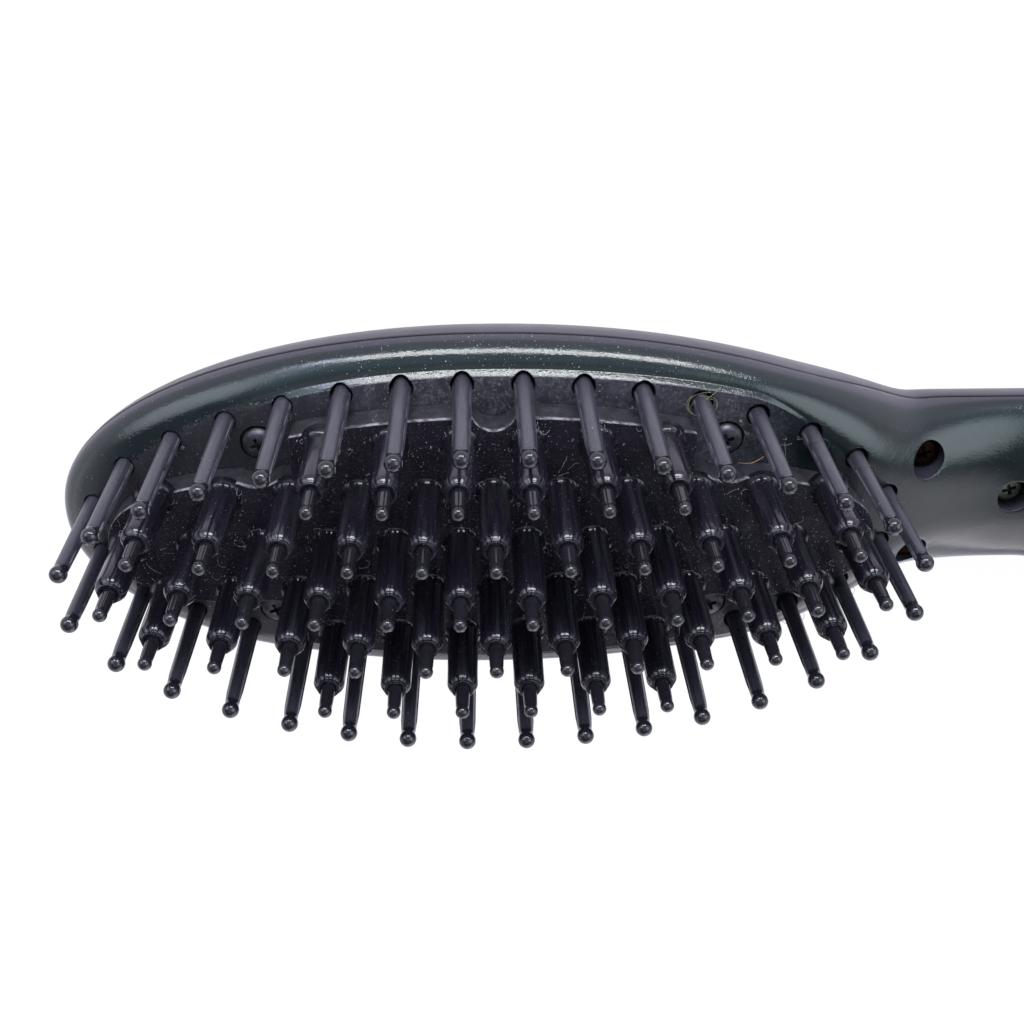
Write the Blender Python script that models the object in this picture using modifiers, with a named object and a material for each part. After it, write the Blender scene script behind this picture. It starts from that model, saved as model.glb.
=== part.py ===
"""A hair straightening brush, lying on its back with its pins up.

X runs along the brush from the head to the tail, Y across it, and Z up, the way the pins point.
The origin is the middle of the tooth field, on the plane that the back rests on.
All sizes are in metres.
"""
import math

import bmesh
import bpy
from mathutils import Matrix, Vector

# Fits
GAP = 0.0003                # between pieces that meet
PARTING_GAP = 0.0003        # between the two halves of the casing
SLIDE_GAP = 0.0004          # round a button

# Head
PIN_RING_LENGTH = 0.1178    # oval that the nylon pins stand on
PIN_RING_WIDTH = 0.0456
TIP_RIM = 0.0050            # from that oval to the tip of the head
ROOT_RIM = 0.0062           # and to where the head would end without a neck
SIDE_RIM = 0.0053
OUTLINE_POWER = 2.1         # 2 is an ellipse, more is squarer
LEDGE_HEIGHT = 0.0230
HEAD_PARTING = 0.0172
RIM_FLAT = 0.853            # share of the head's half width that is flat ledge
BACK_FLAT = 0.36
WALL = 0.0020

# Neck and handle
NECK_START = 0.060
NECK_END = 0.084
NECK_HALF_WIDTH = 0.0142
NECK_HEIGHT = 0.0165
NECK_PARTING = 0.0102
NECK_FLAT = 0.12
GRIP_LENGTH = 0.080
GRIP_SWELL = 0.036          # length over which the neck widens into the grip
GRIP_HALF_WIDTH = 0.0165
GRIP_HEIGHT = 0.0245
GRIP_PARTING = 0.0115
GRIP_FLAT = 0.56
TAIL_LENGTH = 0.024
TAIL_HALF_WIDTH = 0.0125
TAIL_HEIGHT = 0.0220
TAIL_ROUND = 0.0025

# Nylon pins
PIN_COUNT = 32
PIN_RADIUS = 0.00125
PIN_TIP_RADIUS = 0.00100
PIN_BALL_RADIUS = 0.00120
PIN_HEIGHT = 0.0456         # ball top, halfway along the head
PIN_DROOP = 0.0039          # how much lower the pins at the two ends are
PIN_FOOT = 0.0003           # how far the foot is wider than the pin
PIN_FOOT_THICKNESS = 0.0014
PIN_FRAME_WIDTH = 0.0028
PIN_FRAME_THICKNESS = 0.0015

# Heated teeth
TOOTH_PITCH = 0.0095
ROW_PITCH = 0.0080
ROW_TEETH = (6, 11, 12, 11, 6)
TOOTH_ROOT_RADIUS = 0.0020
TOOTH_TOP_RADIUS = 0.0018
TOOTH_SHOULDER = 0.0011     # height of the rounded shoulder
TOOTH_END_RADIUS = 0.0014
TOOTH_TOP = 0.0430          # end face of a tooth in the middle of the field
TOOTH_DROP_ALONG = 0.0034   # how much lower the last teeth are along the head
TOOTH_DROP_ACROSS = 0.0016
TIP_RADIUS = 0.00075
TIP_LENGTH = 0.0047         # from the tooth's end face to the middle of the ball
TIP_BALL_RADIUS = 0.00092

# Heated plate
PLATE_RISE = 0.0049         # above the ledge
PLATE_THICKNESS = 0.0025
PLATE_LIP = 0.0006
PLATE_LIP_THICKNESS = 0.0012
PLATE_MARGIN = 0.0008       # from the outer teeth to the plate's edge
PLATE_SHOULDER = 0.0043     # the same at the ends of the outer rows
SKIRT_WALL = 0.0016
PLATE_DRAFT = 0.0002        # how far the walls under the plate stand back from its edge
BITE_RADIUS = 0.0046        # round cut-outs of the plate beside the casing screws
NOTCH_RADIUS = 0.0031       # shallow cut-out halfway along each side
NOTCH_DEPTH = 0.0020

# Heater stack under the plate
HEATER_WIDTH = 0.0130
HEATER_THICKNESS = 0.0018
HEATER_SPACE = 0.0035       # from the clamp screws to the ceramic strips
MICA_THICKNESS = 0.0005
CLAMP_THICKNESS = 0.0010
CLAMP_BOSS_RADIUS = 0.0024
CLAMP_SCREW_RADIUS = 0.0011
CLAMP_HEAD_RADIUS = 0.0021
CLAMP_HEAD_HEIGHT = 0.0012
SENSOR_RADIUS = 0.0007
SENSOR_LENGTH = 0.0060
FUSE_RADIUS = 0.0019
FUSE_LENGTH = 0.0100

# Casing screws
HEAD_SCREW_X = 0.0331
HEAD_SCREW_Y = 0.01415
NECK_SCREW_X = 0.0646
NECK_SCREW_Y = 0.0080
COLLAR_SCREW_X = 0.0802
TAIL_SCREW_Y = 0.0076
CASING_SCREW_RADIUS = 0.0011
CASING_HEAD_RADIUS = 0.0023
CASING_HEAD_HEIGHT = 0.0016
CASING_SCREW_LENGTH = 0.0085
POST_WALL = 0.0014
BOSS_FLOOR = 0.0020         # under a screw's head
TAIL_SEAT = 0.0030          # height of the tail screws' heads
NECK_WELL_DEPTH = 0.0042
SINK_DEPTH = 0.0010         # of the heads in the ledge

# Control panel
PANEL_START = 0.1000
PANEL_LENGTH = 0.0700
PANEL_WIDTH = 0.0150
PANEL_PROUD = 0.0002
PANEL_LIP = 0.0010
PANEL_LIP_THICKNESS = 0.0010
PANEL_EDGE = 0.0040         # from the panel's end to the window
WINDOW_LENGTH = 0.0220
WINDOW_WIDTH = 0.0095
WINDOW_THICKNESS = 0.0012
BUTTON_RADIUS = 0.0038
POWER_RADIUS = 0.0046
BUTTON_SPACE = 0.0036       # between neighbouring buttons and the window
BUTTON_PROUD = 0.0009
BUTTON_TRAVEL = 0.0006
BUTTON_FLANGE = 0.0008
BUTTON_FLANGE_THICKNESS = 0.0008
BUTTON_STEM_RADIUS = 0.0015

# Electronics
BOARD_BOTTOM = 0.0120
BOARD_THICKNESS = 0.0016
BOARD_WIDTH = 0.0200
BOARD_MARGIN = 0.0060       # how far the board runs on past the panel
BOARD_SCREW_INSET = 0.0035
BOARD_SCREW_RADIUS = 0.0009
BOARD_HEAD_RADIUS = 0.0018
BOARD_HEAD_HEIGHT = 0.0011
SWITCH_SIDE = 0.0060
SWITCH_HEIGHT = 0.0035
SWITCH_PLUNGER_RADIUS = 0.0017
SWITCH_PLUNGER_HEIGHT = 0.0008
TRIAC_SIZE = (0.0150, 0.0100, 0.0045)
CAPACITOR_RADIUS = 0.0029
CAPACITOR_LENGTH = 0.0090
HEATER_LEAD_RADIUS = 0.0008
SENSOR_LEAD_RADIUS = 0.0004

# Swivelling cord gland
GLAND_NECK_RADIUS = 0.0050
GLAND_NOSE_RADIUS = 0.0064
GLAND_NOSE_LENGTH = 0.0095
GLAND_FLANGE_RADIUS = 0.0078
GLAND_FLANGE_THICKNESS = 0.0022
GLAND_STUB_RADIUS = 0.0034
GLAND_STUB_LENGTH = 0.0100
CORD_BORE_RADIUS = 0.0033
CORD_BORE_DEPTH = 0.0120
SLIP_RING_WIDTH = 0.0024
SLIP_RING_WALL = 0.0008
SLIP_RING_SPACE = 0.0018
CONTACT_THICKNESS = 0.0004
CONTACT_WIDTH = 0.0024

# Sides of round pieces
FINE = 16
COARSE = 8
PIN_SIDES = 6
TIP_SIDES = 6
SECTION_STEPS = 4

# Values that follow
ring_a = PIN_RING_LENGTH / 2
ring_b = PIN_RING_WIDTH / 2
head_tip = ring_a + TIP_RIM
head_root = ring_a + ROOT_RIM
head_half_width = ring_b + SIDE_RIM
grip_start = NECK_END + GRIP_SWELL
grip_end = grip_start + GRIP_LENGTH
handle_end = grip_end + TAIL_LENGTH
ledge_under = LEDGE_HEIGHT - WALL
seat_under = ledge_under - 2 * GAP
pin_foot_radius = PIN_RADIUS + PIN_FOOT
pin_frame_top = seat_under - PIN_FOOT_THICKNESS
pin_frame_bottom = pin_frame_top - PIN_FRAME_THICKNESS
plate_top = LEDGE_HEIGHT + PLATE_RISE
plate_under = plate_top - PLATE_THICKNESS
skirt_bottom = seat_under - PLATE_LIP_THICKNESS
pin_to_plate = pin_foot_radius + GAP + PLATE_LIP + GAP
field_half_length = (max(ROW_TEETH) - 1) / 2 * TOOTH_PITCH
field_half_width = (len(ROW_TEETH) - 1) / 2 * ROW_PITCH
spine_half_length = field_half_length + TOOTH_ROOT_RADIUS + PLATE_MARGIN
spine_half_width = ROW_PITCH + TOOTH_ROOT_RADIUS + PLATE_MARGIN
lobe_half_length = (ROW_TEETH[0] - 1) / 2 * TOOTH_PITCH + PLATE_SHOULDER
lobe_a = ring_a - pin_to_plate
lobe_b = ring_b - pin_to_plate
post_radius = CASING_SCREW_RADIUS + GAP + POST_WALL
clamp_reach = field_half_length - TOOTH_PITCH / 2
heater_top = plate_under - GAP
heater_bottom = heater_top - HEATER_THICKNESS
mica_bottom = heater_bottom - GAP - MICA_THICKNESS
clamp_top = mica_bottom - GAP
clamp_bottom = clamp_top - CLAMP_THICKNESS
board_top = BOARD_BOTTOM + BOARD_THICKNESS
board_start = PANEL_START - BOARD_MARGIN
board_end = PANEL_START + PANEL_LENGTH + BOARD_MARGIN
panel_top = GRIP_HEIGHT + PANEL_PROUD
panel_bottom = GRIP_HEIGHT - WALL - GAP - PANEL_LIP_THICKNESS
window_x = PANEL_START + PANEL_EDGE + WINDOW_LENGTH / 2
heat_up_x = window_x + WINDOW_LENGTH / 2 + BUTTON_SPACE + BUTTON_RADIUS
heat_down_x = heat_up_x + 2 * BUTTON_RADIUS + BUTTON_SPACE
power_x = heat_down_x + BUTTON_RADIUS + BUTTON_SPACE + POWER_RADIUS
tail_screw_x = (board_end + handle_end - WALL) / 2 - GLAND_STUB_LENGTH / 2


def smooth(x, start, end):
    """Rise from 0 at start to 1 at end, level at both."""
    t = min(max((x - start) / (end - start), 0.0), 1.0)
    return t * t * (3 - 2 * t)


def spread(start, end, count):
    """Count evenly spaced places from start, short of end."""
    return [start + (end - start) * i / count for i in range(count)]


# Casing shape: half width, heights and roundness at each place along the brush

def head_ratio(x):
    reach = head_tip if x < 0 else head_root
    return min(abs(x) / reach, 1.0)


def half_width(x):
    head = head_half_width * (1 - head_ratio(x) ** OUTLINE_POWER) ** (1 / OUTLINE_POWER)
    stem = NECK_HALF_WIDTH * smooth(x, 0, NECK_START)
    stem += (GRIP_HALF_WIDTH - NECK_HALF_WIDTH) * smooth(x, NECK_END, grip_start)
    stem -= (GRIP_HALF_WIDTH - TAIL_HALF_WIDTH) * smooth(x, grip_end, handle_end)
    return (head ** 4 + stem ** 4) ** 0.25


def part_height(x):
    height = HEAD_PARTING
    height += (NECK_PARTING - HEAD_PARTING) * smooth(x, 0.7 * NECK_START, 1.15 * NECK_START)
    height += (GRIP_PARTING - NECK_PARTING) * smooth(x, NECK_END, grip_start)
    return height


def front_height(x):
    height = LEDGE_HEIGHT
    height += (NECK_HEIGHT - LEDGE_HEIGHT) * smooth(x, 0.87 * NECK_START, NECK_END - 0.004)
    height += (GRIP_HEIGHT - NECK_HEIGHT) * smooth(x, NECK_END, PANEL_START - 0.002)
    height += (TAIL_HEIGHT - GRIP_HEIGHT) * smooth(x, grip_end, handle_end)
    return height


def front_flat(x):
    flat = RIM_FLAT + (NECK_FLAT - RIM_FLAT) * smooth(x, 0.6 * NECK_START, 1.2 * NECK_START)
    return flat + (GRIP_FLAT - NECK_FLAT) * smooth(x, NECK_END, PANEL_START - 0.002)


def tail_shrink(x):
    """How much of the section is left where the end of the handle is rounded."""
    run = max(x - (handle_end - TAIL_ROUND), 0.0) / TAIL_ROUND
    lost = TAIL_ROUND * (1 - math.sqrt(max(1 - run * run, 0.0)))
    return 1 - lost / half_width(x)


def half_section(x, front, inset=0.0):
    """Points (y, z) of a half section, from the parting line to the middle."""
    width = half_width(x)
    part = part_height(x)
    if front:
        flat = front_flat(x)
        rise = front_height(x) - part
    else:
        flat = BACK_FLAT
        rise = -part
    ratio = head_ratio(x) if x < 0 else 0.0
    start = max(flat, ratio)
    shrink = tail_shrink(x)
    points = []
    for step in range(SECTION_STEPS + 1):
        turn = math.pi / 2 * step / SECTION_STEPS
        ring = start + (1 - start) * math.cos(turn)
        if x < 0:
            left = max(ring ** OUTLINE_POWER - ratio ** OUTLINE_POWER, 0.0)
            y = head_half_width * left ** (1 / OUTLINE_POWER)
        else:
            y = width * ring
        bulge = math.sqrt(max(1 - ((ring - flat) / (1 - flat)) ** 2, 0.0))
        y *= shrink * (width - inset) / width
        z = part + (rise - math.copysign(inset, rise)) * bulge * shrink
        points.append((y, z))
    return points


def casing_places():
    """Places along the brush where the casing has a section."""
    tip = [-head_tip * math.cos(math.radians(angle)) for angle in (10, 21, 34, 50, 69)]
    places = tip + spread(0.0, 0.6 * NECK_START, 2)
    places += spread(0.6 * NECK_START, NECK_END, 8)
    places += spread(NECK_END, PANEL_START, 3)
    places += spread(PANEL_START, grip_end, 2)
    places += spread(grip_end, handle_end - TAIL_ROUND, 4)
    places += [handle_end - TAIL_ROUND * (1 - math.sin(math.radians(a))) for a in (0, 40, 75)]
    return places + [handle_end]


def surface_height(x, y):
    """Height of the casing's front at a place on it."""
    points = half_section(x, True)
    for (y0, z0), (y1, z1) in zip(points, points[1:]):
        if y1 <= abs(y) <= y0:
            return z1 + (z0 - z1) * (abs(y) - y1) / (y0 - y1)
    return points[-1][1]


# Tools for making meshes

for leftover in list(bpy.data.objects):
    bpy.data.objects.remove(leftover)

parts = bpy.data.collections.new("straightening_brush")
bpy.context.scene.collection.children.link(parts)
helpers = bpy.data.collections.new("cutters")
bpy.context.scene.collection.children.link(helpers)


def finish(colour, roughness, metallic=0.0):
    """A material from its colour, gloss and metal share."""
    material = bpy.data.materials.new("finish")
    material.use_nodes = True
    shader = material.node_tree.nodes["Principled BSDF"]
    shader.inputs["Base Color"].default_value = (*colour, 1.0)
    shader.inputs["Roughness"].default_value = roughness
    shader.inputs["Metallic"].default_value = metallic
    material.diffuse_color = (*colour, 1.0)
    return material


def add_object(name, mesh, collection):
    piece = bpy.data.objects.new(name, mesh)
    collection.objects.link(piece)
    return piece


def mesh_of(bm, name):
    bmesh.ops.remove_doubles(bm, verts=bm.verts, dist=1e-7)
    bmesh.ops.recalc_face_normals(bm, faces=bm.faces)
    mesh = bpy.data.meshes.new(name)
    bm.to_mesh(mesh)
    bm.free()
    return mesh


def dress(shape, name, material):
    """A bmesh or a mesh, shaded smooth where it is round, with its material."""
    mesh = shape if isinstance(shape, bpy.types.Mesh) else mesh_of(shape, name)
    mesh.shade_smooth()
    mesh.set_sharp_from_angle(angle=math.radians(35))
    mesh.materials.append(material)
    material.name = name
    return mesh


def part(name, shape, material):
    return add_object(name, dress(shape, name, material), parts)


def copies(name, shape, material, places):
    """Numbered pieces, one at each place, that share one mesh."""
    mesh = dress(shape, name, material)
    for number, place in enumerate(places, 1):
        add_object(f"{name}_{number}", mesh, parts).location = place


def helper(name, shape):
    """A cutter, or a shape that another piece takes in."""
    mesh = shape if isinstance(shape, bpy.types.Mesh) else mesh_of(shape, name)
    piece = add_object(name, mesh, helpers)
    piece.hide_render = True
    piece.display_type = 'WIRE'
    return piece


def boolean(piece, other, operation):
    modifier = piece.modifiers.new(operation.lower(), 'BOOLEAN')
    modifier.operation = operation
    modifier.object = other


def add_box(bm, low, high):
    size = Vector(high) - Vector(low)
    middle = (Vector(high) + Vector(low)) / 2
    matrix = Matrix.Translation(middle) @ Matrix.Diagonal((*size, 1.0))
    bmesh.ops.create_cube(bm, size=1.0, matrix=matrix)


def add_cylinder(bm, x, y, radius, low, high, sides=COARSE):
    matrix = Matrix.Translation((x, y, (low + high) / 2))
    bmesh.ops.create_cone(bm, cap_ends=True, segments=sides, radius1=radius, radius2=radius,
                          depth=high - low, matrix=matrix)


def add_turned(bm, profile, middle=(0, 0, 0), sides=COARSE, axis='Z'):
    """Spin a profile of (radius, height) points, which starts and ends on the axis."""
    turned = bmesh.new()
    chain = [turned.verts.new((radius, 0, height)) for radius, height in profile]
    for first, second in zip(chain, chain[1:]):
        turned.edges.new((first, second))
    bmesh.ops.spin(turned, geom=turned.verts[:] + turned.edges[:], axis=(0, 0, 1), cent=(0, 0, 0),
                   angle=2 * math.pi, steps=sides, use_merge=True)
    bmesh.ops.remove_doubles(turned, verts=turned.verts, dist=1e-6)
    bmesh.ops.recalc_face_normals(turned, faces=turned.faces)
    matrix = Matrix.Translation(middle)
    if axis == 'X':
        matrix = matrix @ Matrix.Rotation(math.pi / 2, 4, 'Y')
    bmesh.ops.transform(turned, matrix=matrix, verts=turned.verts)
    mesh = bpy.data.meshes.new("turned")
    turned.to_mesh(mesh)
    turned.free()
    bm.from_mesh(mesh)
    bpy.data.meshes.remove(mesh)


def flat_mesh(name, outline, low, high, hole=None):
    """A flat piece from its outline, between two heights."""
    curve = bpy.data.curves.new(name, 'CURVE')
    curve.dimensions = '2D'
    curve.fill_mode = 'BOTH'
    curve.extrude = (high - low) / 2
    for loop in (outline, hole):
        if loop:
            spline = curve.splines.new('POLY')
            spline.points.add(len(loop) - 1)
            for point, (x, y) in zip(spline.points, loop):
                point.co = (x, y, 0, 1)
            spline.use_cyclic_u = True
    rough = add_object(name, curve, helpers)
    rough.location.z = (low + high) / 2
    mesh = mesh_from_curve(rough)
    if not hole:
        bm = bmesh.new()
        bm.from_mesh(mesh)
        bmesh.ops.dissolve_limit(bm, angle_limit=math.radians(0.5), verts=[], edges=bm.edges)
        bm.to_mesh(mesh)
        bm.free()
    return mesh


def mesh_from_curve(curve_object):
    bpy.context.view_layer.update()
    evaluated = curve_object.evaluated_get(bpy.context.evaluated_depsgraph_get())
    mesh = bpy.data.meshes.new_from_object(evaluated)
    bm = bmesh.new()
    bm.from_mesh(mesh)
    bmesh.ops.transform(bm, matrix=curve_object.matrix_world, verts=bm.verts)
    bmesh.ops.remove_doubles(bm, verts=bm.verts, dist=1e-6)
    bmesh.ops.recalc_face_normals(bm, faces=bm.faces)
    bm.to_mesh(mesh)
    bm.free()
    bpy.data.objects.remove(curve_object)
    return mesh


def oval(a, b, count, middle=0.0):
    return [(middle + a * math.cos(2 * math.pi * i / count), b * math.sin(2 * math.pi * i / count))
            for i in range(count)]


def stadium(start, end, width, steps=6):
    """Outline with straight sides and round ends, from start to end along X."""
    radius = width / 2
    outline = []
    for middle, first in ((end - radius, -90), (start + radius, 90)):
        for i in range(steps + 1):
            angle = math.radians(first + 180 * i / steps)
            outline.append((middle + radius * math.cos(angle), radius * math.sin(angle)))
    return outline


def smooth_route(points, count):
    """Evenly many places on a smooth curve through the points."""
    route = []
    ends = [points[0]] + list(points) + [points[-1]]
    for before, start, end, after in zip(ends, ends[1:], ends[2:], ends[3:]):
        for i in range(count):
            t = i / count
            route.append(tuple(
                0.5 * (2 * b + (c - a) * t + (2 * a - 5 * b + 4 * c - d) * t * t
                       + (3 * b - a - 3 * c + d) * t ** 3)
                for a, b, c, d in zip(before, start, end, after)))
    return route + [points[-1]]


def wire(name, route, radius, material):
    curve = bpy.data.curves.new(name, 'CURVE')
    curve.dimensions = '3D'
    curve.bevel_depth = radius
    curve.bevel_resolution = 0
    curve.use_fill_caps = True
    places = smooth_route(route, 3)
    spline = curve.splines.new('POLY')
    spline.points.add(len(places) - 1)
    for point, place in zip(spline.points, places):
        point.co = (*place, 1)
    part(name, mesh_from_curve(add_object(name + "_line", curve, helpers)), material)


# Casing

def loft(rows, tip, tail, closed):
    """Skin over sections, drawn together to one point at each end."""
    bm = bmesh.new()
    rings = [[bm.verts.new(point) for point in row] for row in rows]
    count = len(rows[0]) if closed else len(rows[0]) - 1
    for here, there in zip(rings, rings[1:]):
        for i in range(count):
            j = (i + 1) % len(here)
            bm.faces.new((here[i], here[j], there[j], there[i]))
    first = bm.verts.new(tip)
    last = bm.verts.new(tail)
    for i in range(count):
        j = (i + 1) % len(rings[0])
        bm.faces.new((rings[0][j], rings[0][i], first))
        bm.faces.new((rings[-1][i], rings[-1][j], last))
    bmesh.ops.remove_doubles(bm, verts=bm.verts, dist=1e-6)
    return bm


def casing_row(x, front, inset=0.0):
    half = half_section(x, front, inset)
    side = 1 if front else -1
    row = [(x, side * y, z) for y, z in half]
    row += [(x, -side * y, z) for y, z in reversed(half)]
    return row


def casing_skin(front):
    rows = [casing_row(x, front) for x in casing_places()]
    tip = (-head_tip, 0, part_height(-head_tip))
    tail = (handle_end, 0, part_height(handle_end))
    bm = loft(rows, tip, tail, closed=False)
    mesh = bpy.data.meshes.new("skin")
    bm.to_mesh(mesh)
    bm.free()
    return mesh


def casing_half(name, front, material):
    piece = part(name, casing_skin(front), material)
    walls = piece.modifiers.new("walls", 'SOLIDIFY')
    walls.thickness = WALL
    walls.offset = -1
    walls.use_even_offset = True
    return piece


def parting_block(name, front):
    """Everything on the far side of the parting line, which trims one half of the casing."""
    side = 1 if front else -1
    reach = 2 * head_half_width
    line = [(x, part_height(x) + side * PARTING_GAP / 2) for x in casing_places()]
    line = [(-head_tip - reach, line[0][1])] + line + [(handle_end + reach, line[-1][1])]
    far = [(line[-1][0], -side * reach), (line[0][0], -side * reach)]
    block = flat_mesh(name, line + far, -reach, reach)
    block.transform(Matrix.Rotation(math.pi / 2, 4, 'X'))
    return helper(name, block)


def casing_core():
    """Closed solid whose skin runs inside the casing's wall. It trims bosses and posts."""
    inset = 0.35 * WALL
    scale = (head_tip - inset) / head_tip
    rows = []
    for x in casing_places():
        row = casing_row(x, True, inset) + casing_row(x, False, inset)
        along = x * scale if x < 0 else min(x, handle_end - inset)
        rows.append([(along, y, z) for _, y, z in row])
    rows = rows[:-3]
    tip = (-head_tip + inset, 0, part_height(-head_tip))
    tail = (handle_end - inset, 0, part_height(handle_end))
    return helper("casing_core", loft(rows, tip, tail, closed=True))


def both_sides(x, y):
    return [(x, y), (x, -y)]


head_screws_at = both_sides(-HEAD_SCREW_X, HEAD_SCREW_Y) + both_sides(HEAD_SCREW_X, HEAD_SCREW_Y)
neck_screws_at = both_sides(NECK_SCREW_X, NECK_SCREW_Y)
collar_screw_at = [(COLLAR_SCREW_X, 0.0)]
tail_screws_at = both_sides(tail_screw_x, TAIL_SCREW_Y)
board_screws_at = [(x, side * (BOARD_WIDTH / 2 - BOARD_SCREW_INSET))
                   for x in (board_start + BOARD_SCREW_INSET, board_end - BOARD_SCREW_INSET)
                   for side in (1, -1)]
head_seat = LEDGE_HEIGHT - SINK_DEPTH
neck_seat = surface_height(NECK_SCREW_X, NECK_SCREW_Y) - NECK_WELL_DEPTH
collar_seat = surface_height(COLLAR_SCREW_X, 0) - NECK_WELL_DEPTH
head_boss_foot = ledge_under
neck_boss_foot = max(neck_seat - BOSS_FLOOR, part_height(NECK_SCREW_X) + PARTING_GAP)
collar_boss_foot = collar_seat - BOSS_FLOOR
tail_post_top = TAIL_SEAT + BOSS_FLOOR
plate_post_x = clamp_reach - TOOTH_PITCH
plate_posts_at = [(x, spine_half_width - SKIRT_WALL / 2) for x in (-plate_post_x, plate_post_x)]
gland_z = part_height(handle_end)
boss_radius = CASING_HEAD_RADIUS + GAP + POST_WALL


def arc_places(a, b, count):
    """Evenly spaced places round an ellipse, none on its long axis."""
    samples = 2000
    ring = oval(a, b, samples)
    lengths = [math.dist(ring[i], ring[(i + 1) % samples]) for i in range(samples)]
    step = sum(lengths) / count
    places = []
    run = 0.0
    goal = step / 2
    for point, length in zip(ring, lengths):
        if run >= goal and len(places) < count:
            places.append(point)
            goal += step
        run += length
    return places


pins_at = arc_places(ring_a, ring_b, PIN_COUNT)


def pin_top(x):
    return PIN_HEIGHT - PIN_DROOP * (x / ring_a) ** 2


def pin_frame_pegs():
    """Places under the pin frame, clear of the head screws, where pegs hold it up."""
    return [pins_at[i] for i in range(3, PIN_COUNT, PIN_COUNT // 4)]


def plate_edge(x, grow):
    """Half width of the heated plate, without its cut-outs."""
    along = abs(x)
    edge = 0.0
    end = spine_half_length + grow
    if along < end:
        side = spine_half_width + grow
        edge = side * (1 - (along / end) ** 5) ** (1 / 2.4)
    if along <= lobe_half_length + grow:
        lobe = (lobe_b + grow) * math.sqrt(1 - (along / (lobe_a + grow)) ** 2)
        edge = max(edge, lobe)
    return edge


def plate_outline(grow):
    lobe_end = lobe_half_length + grow
    end = spine_half_length + grow
    xs = spread(0.0, lobe_end, 5) + [lobe_end]
    xs += [lobe_end + 1e-5] + [end * math.sin(math.radians(a)) for a in (46, 58, 68, 76, 83)]
    right = [(x, plate_edge(x, grow)) for x in xs] + [(end, 0.0)]
    upper = right[::-1] + [(-x, y) for x, y in right[1:]]
    return upper + [(x, -y) for x, y in upper[-2:0:-1]]


def plate_solid(name, low, high, grow):
    """The plate's plan, between two heights, with its round cut-outs."""
    solid = helper(name, flat_mesh(name, plate_outline(grow), low, high))
    bites = bmesh.new()
    for x, y in head_screws_at:
        add_cylinder(bites, x, y, BITE_RADIUS - grow, low - GAP, high + GAP, FINE)
    boolean(solid, helper(name + "_bites", bites), 'DIFFERENCE')
    notches = bmesh.new()
    for side in (1, -1):
        middle = side * (lobe_b - NOTCH_DEPTH + NOTCH_RADIUS)
        add_cylinder(notches, 0, middle, NOTCH_RADIUS - grow, low - GAP, high + GAP, FINE)
    boolean(solid, helper(name + "_notches", notches), 'DIFFERENCE')
    return solid


def make_front_shell(core, material):
    shell = casing_half("front_shell", True, material)

    bosses = bmesh.new()
    for x, y in neck_screws_at:
        add_cylinder(bosses, x, y, boss_radius, neck_boss_foot, LEDGE_HEIGHT)
    for x, y in collar_screw_at:
        add_cylinder(bosses, x, y, boss_radius, collar_boss_foot, LEDGE_HEIGHT)
    boss_piece = helper("front_bosses", bosses)
    boolean(boss_piece, core, 'INTERSECT')
    boolean(shell, boss_piece, 'UNION')
    boolean(shell, parting_block("below_parting", True), 'DIFFERENCE')
    posts = bmesh.new()
    for x, y in tail_screws_at:
        add_cylinder(posts, x, y, post_radius, tail_post_top + GAP, GRIP_HEIGHT)
    post_piece = helper("tail_posts", posts)
    boolean(post_piece, core, 'INTERSECT')
    boolean(shell, post_piece, 'UNION')

    opening = plate_solid("plate_opening", ledge_under - PIN_FOOT_THICKNESS, plate_top, GAP)
    boolean(shell, opening, 'DIFFERENCE')
    reach = pin_foot_radius + GAP
    room = flat_mesh("head_room", oval(ring_a + reach, ring_b + reach, 2 * PIN_COUNT),
                     pin_frame_bottom - GAP, seat_under + GAP)
    boolean(shell, helper("head_room", room), 'DIFFERENCE')

    holes = bmesh.new()
    for x, y in pins_at:
        add_cylinder(holes, x, y, PIN_RADIUS + GAP, pin_frame_top, plate_top, PIN_SIDES)
    boolean(shell, helper("pin_holes", holes), 'DIFFERENCE')

    wells = bmesh.new()
    for places, seat, foot in ((head_screws_at, head_seat, head_boss_foot),
                               (neck_screws_at, neck_seat, neck_boss_foot),
                               (collar_screw_at, collar_seat, collar_boss_foot)):
        for x, y in places:
            bore = CASING_SCREW_RADIUS + GAP
            well = CASING_HEAD_RADIUS + GAP
            low = foot - GAP
            add_turned(wells, [(0, low), (bore, low), (bore, seat), (well, seat),
                               (well, plate_top), (0, plate_top)], (x, y, 0))
    for x, y in tail_screws_at:
        low = tail_post_top
        add_cylinder(wells, x, y, CASING_SCREW_RADIUS + GAP, low, low + CASING_SCREW_LENGTH)
    boolean(shell, helper("front_wells", wells), 'DIFFERENCE')

    outline = stadium(PANEL_START - GAP, PANEL_START + PANEL_LENGTH + GAP, PANEL_WIDTH + 2 * GAP)
    panel = flat_mesh("panel_opening", outline, panel_bottom, panel_top + WALL)
    boolean(shell, helper("panel_opening", panel), 'DIFFERENCE')
    boolean(shell, gland_bore("front_gland_bore"), 'DIFFERENCE')
    return shell


def gland_bore(name):
    bm = bmesh.new()
    radius = GLAND_NECK_RADIUS + GAP
    add_turned(bm, [(0, -2 * WALL), (radius, -2 * WALL), (radius, WALL), (0, WALL)],
               (handle_end, 0, gland_z), FINE, 'X')
    return helper(name, bm)


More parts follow.
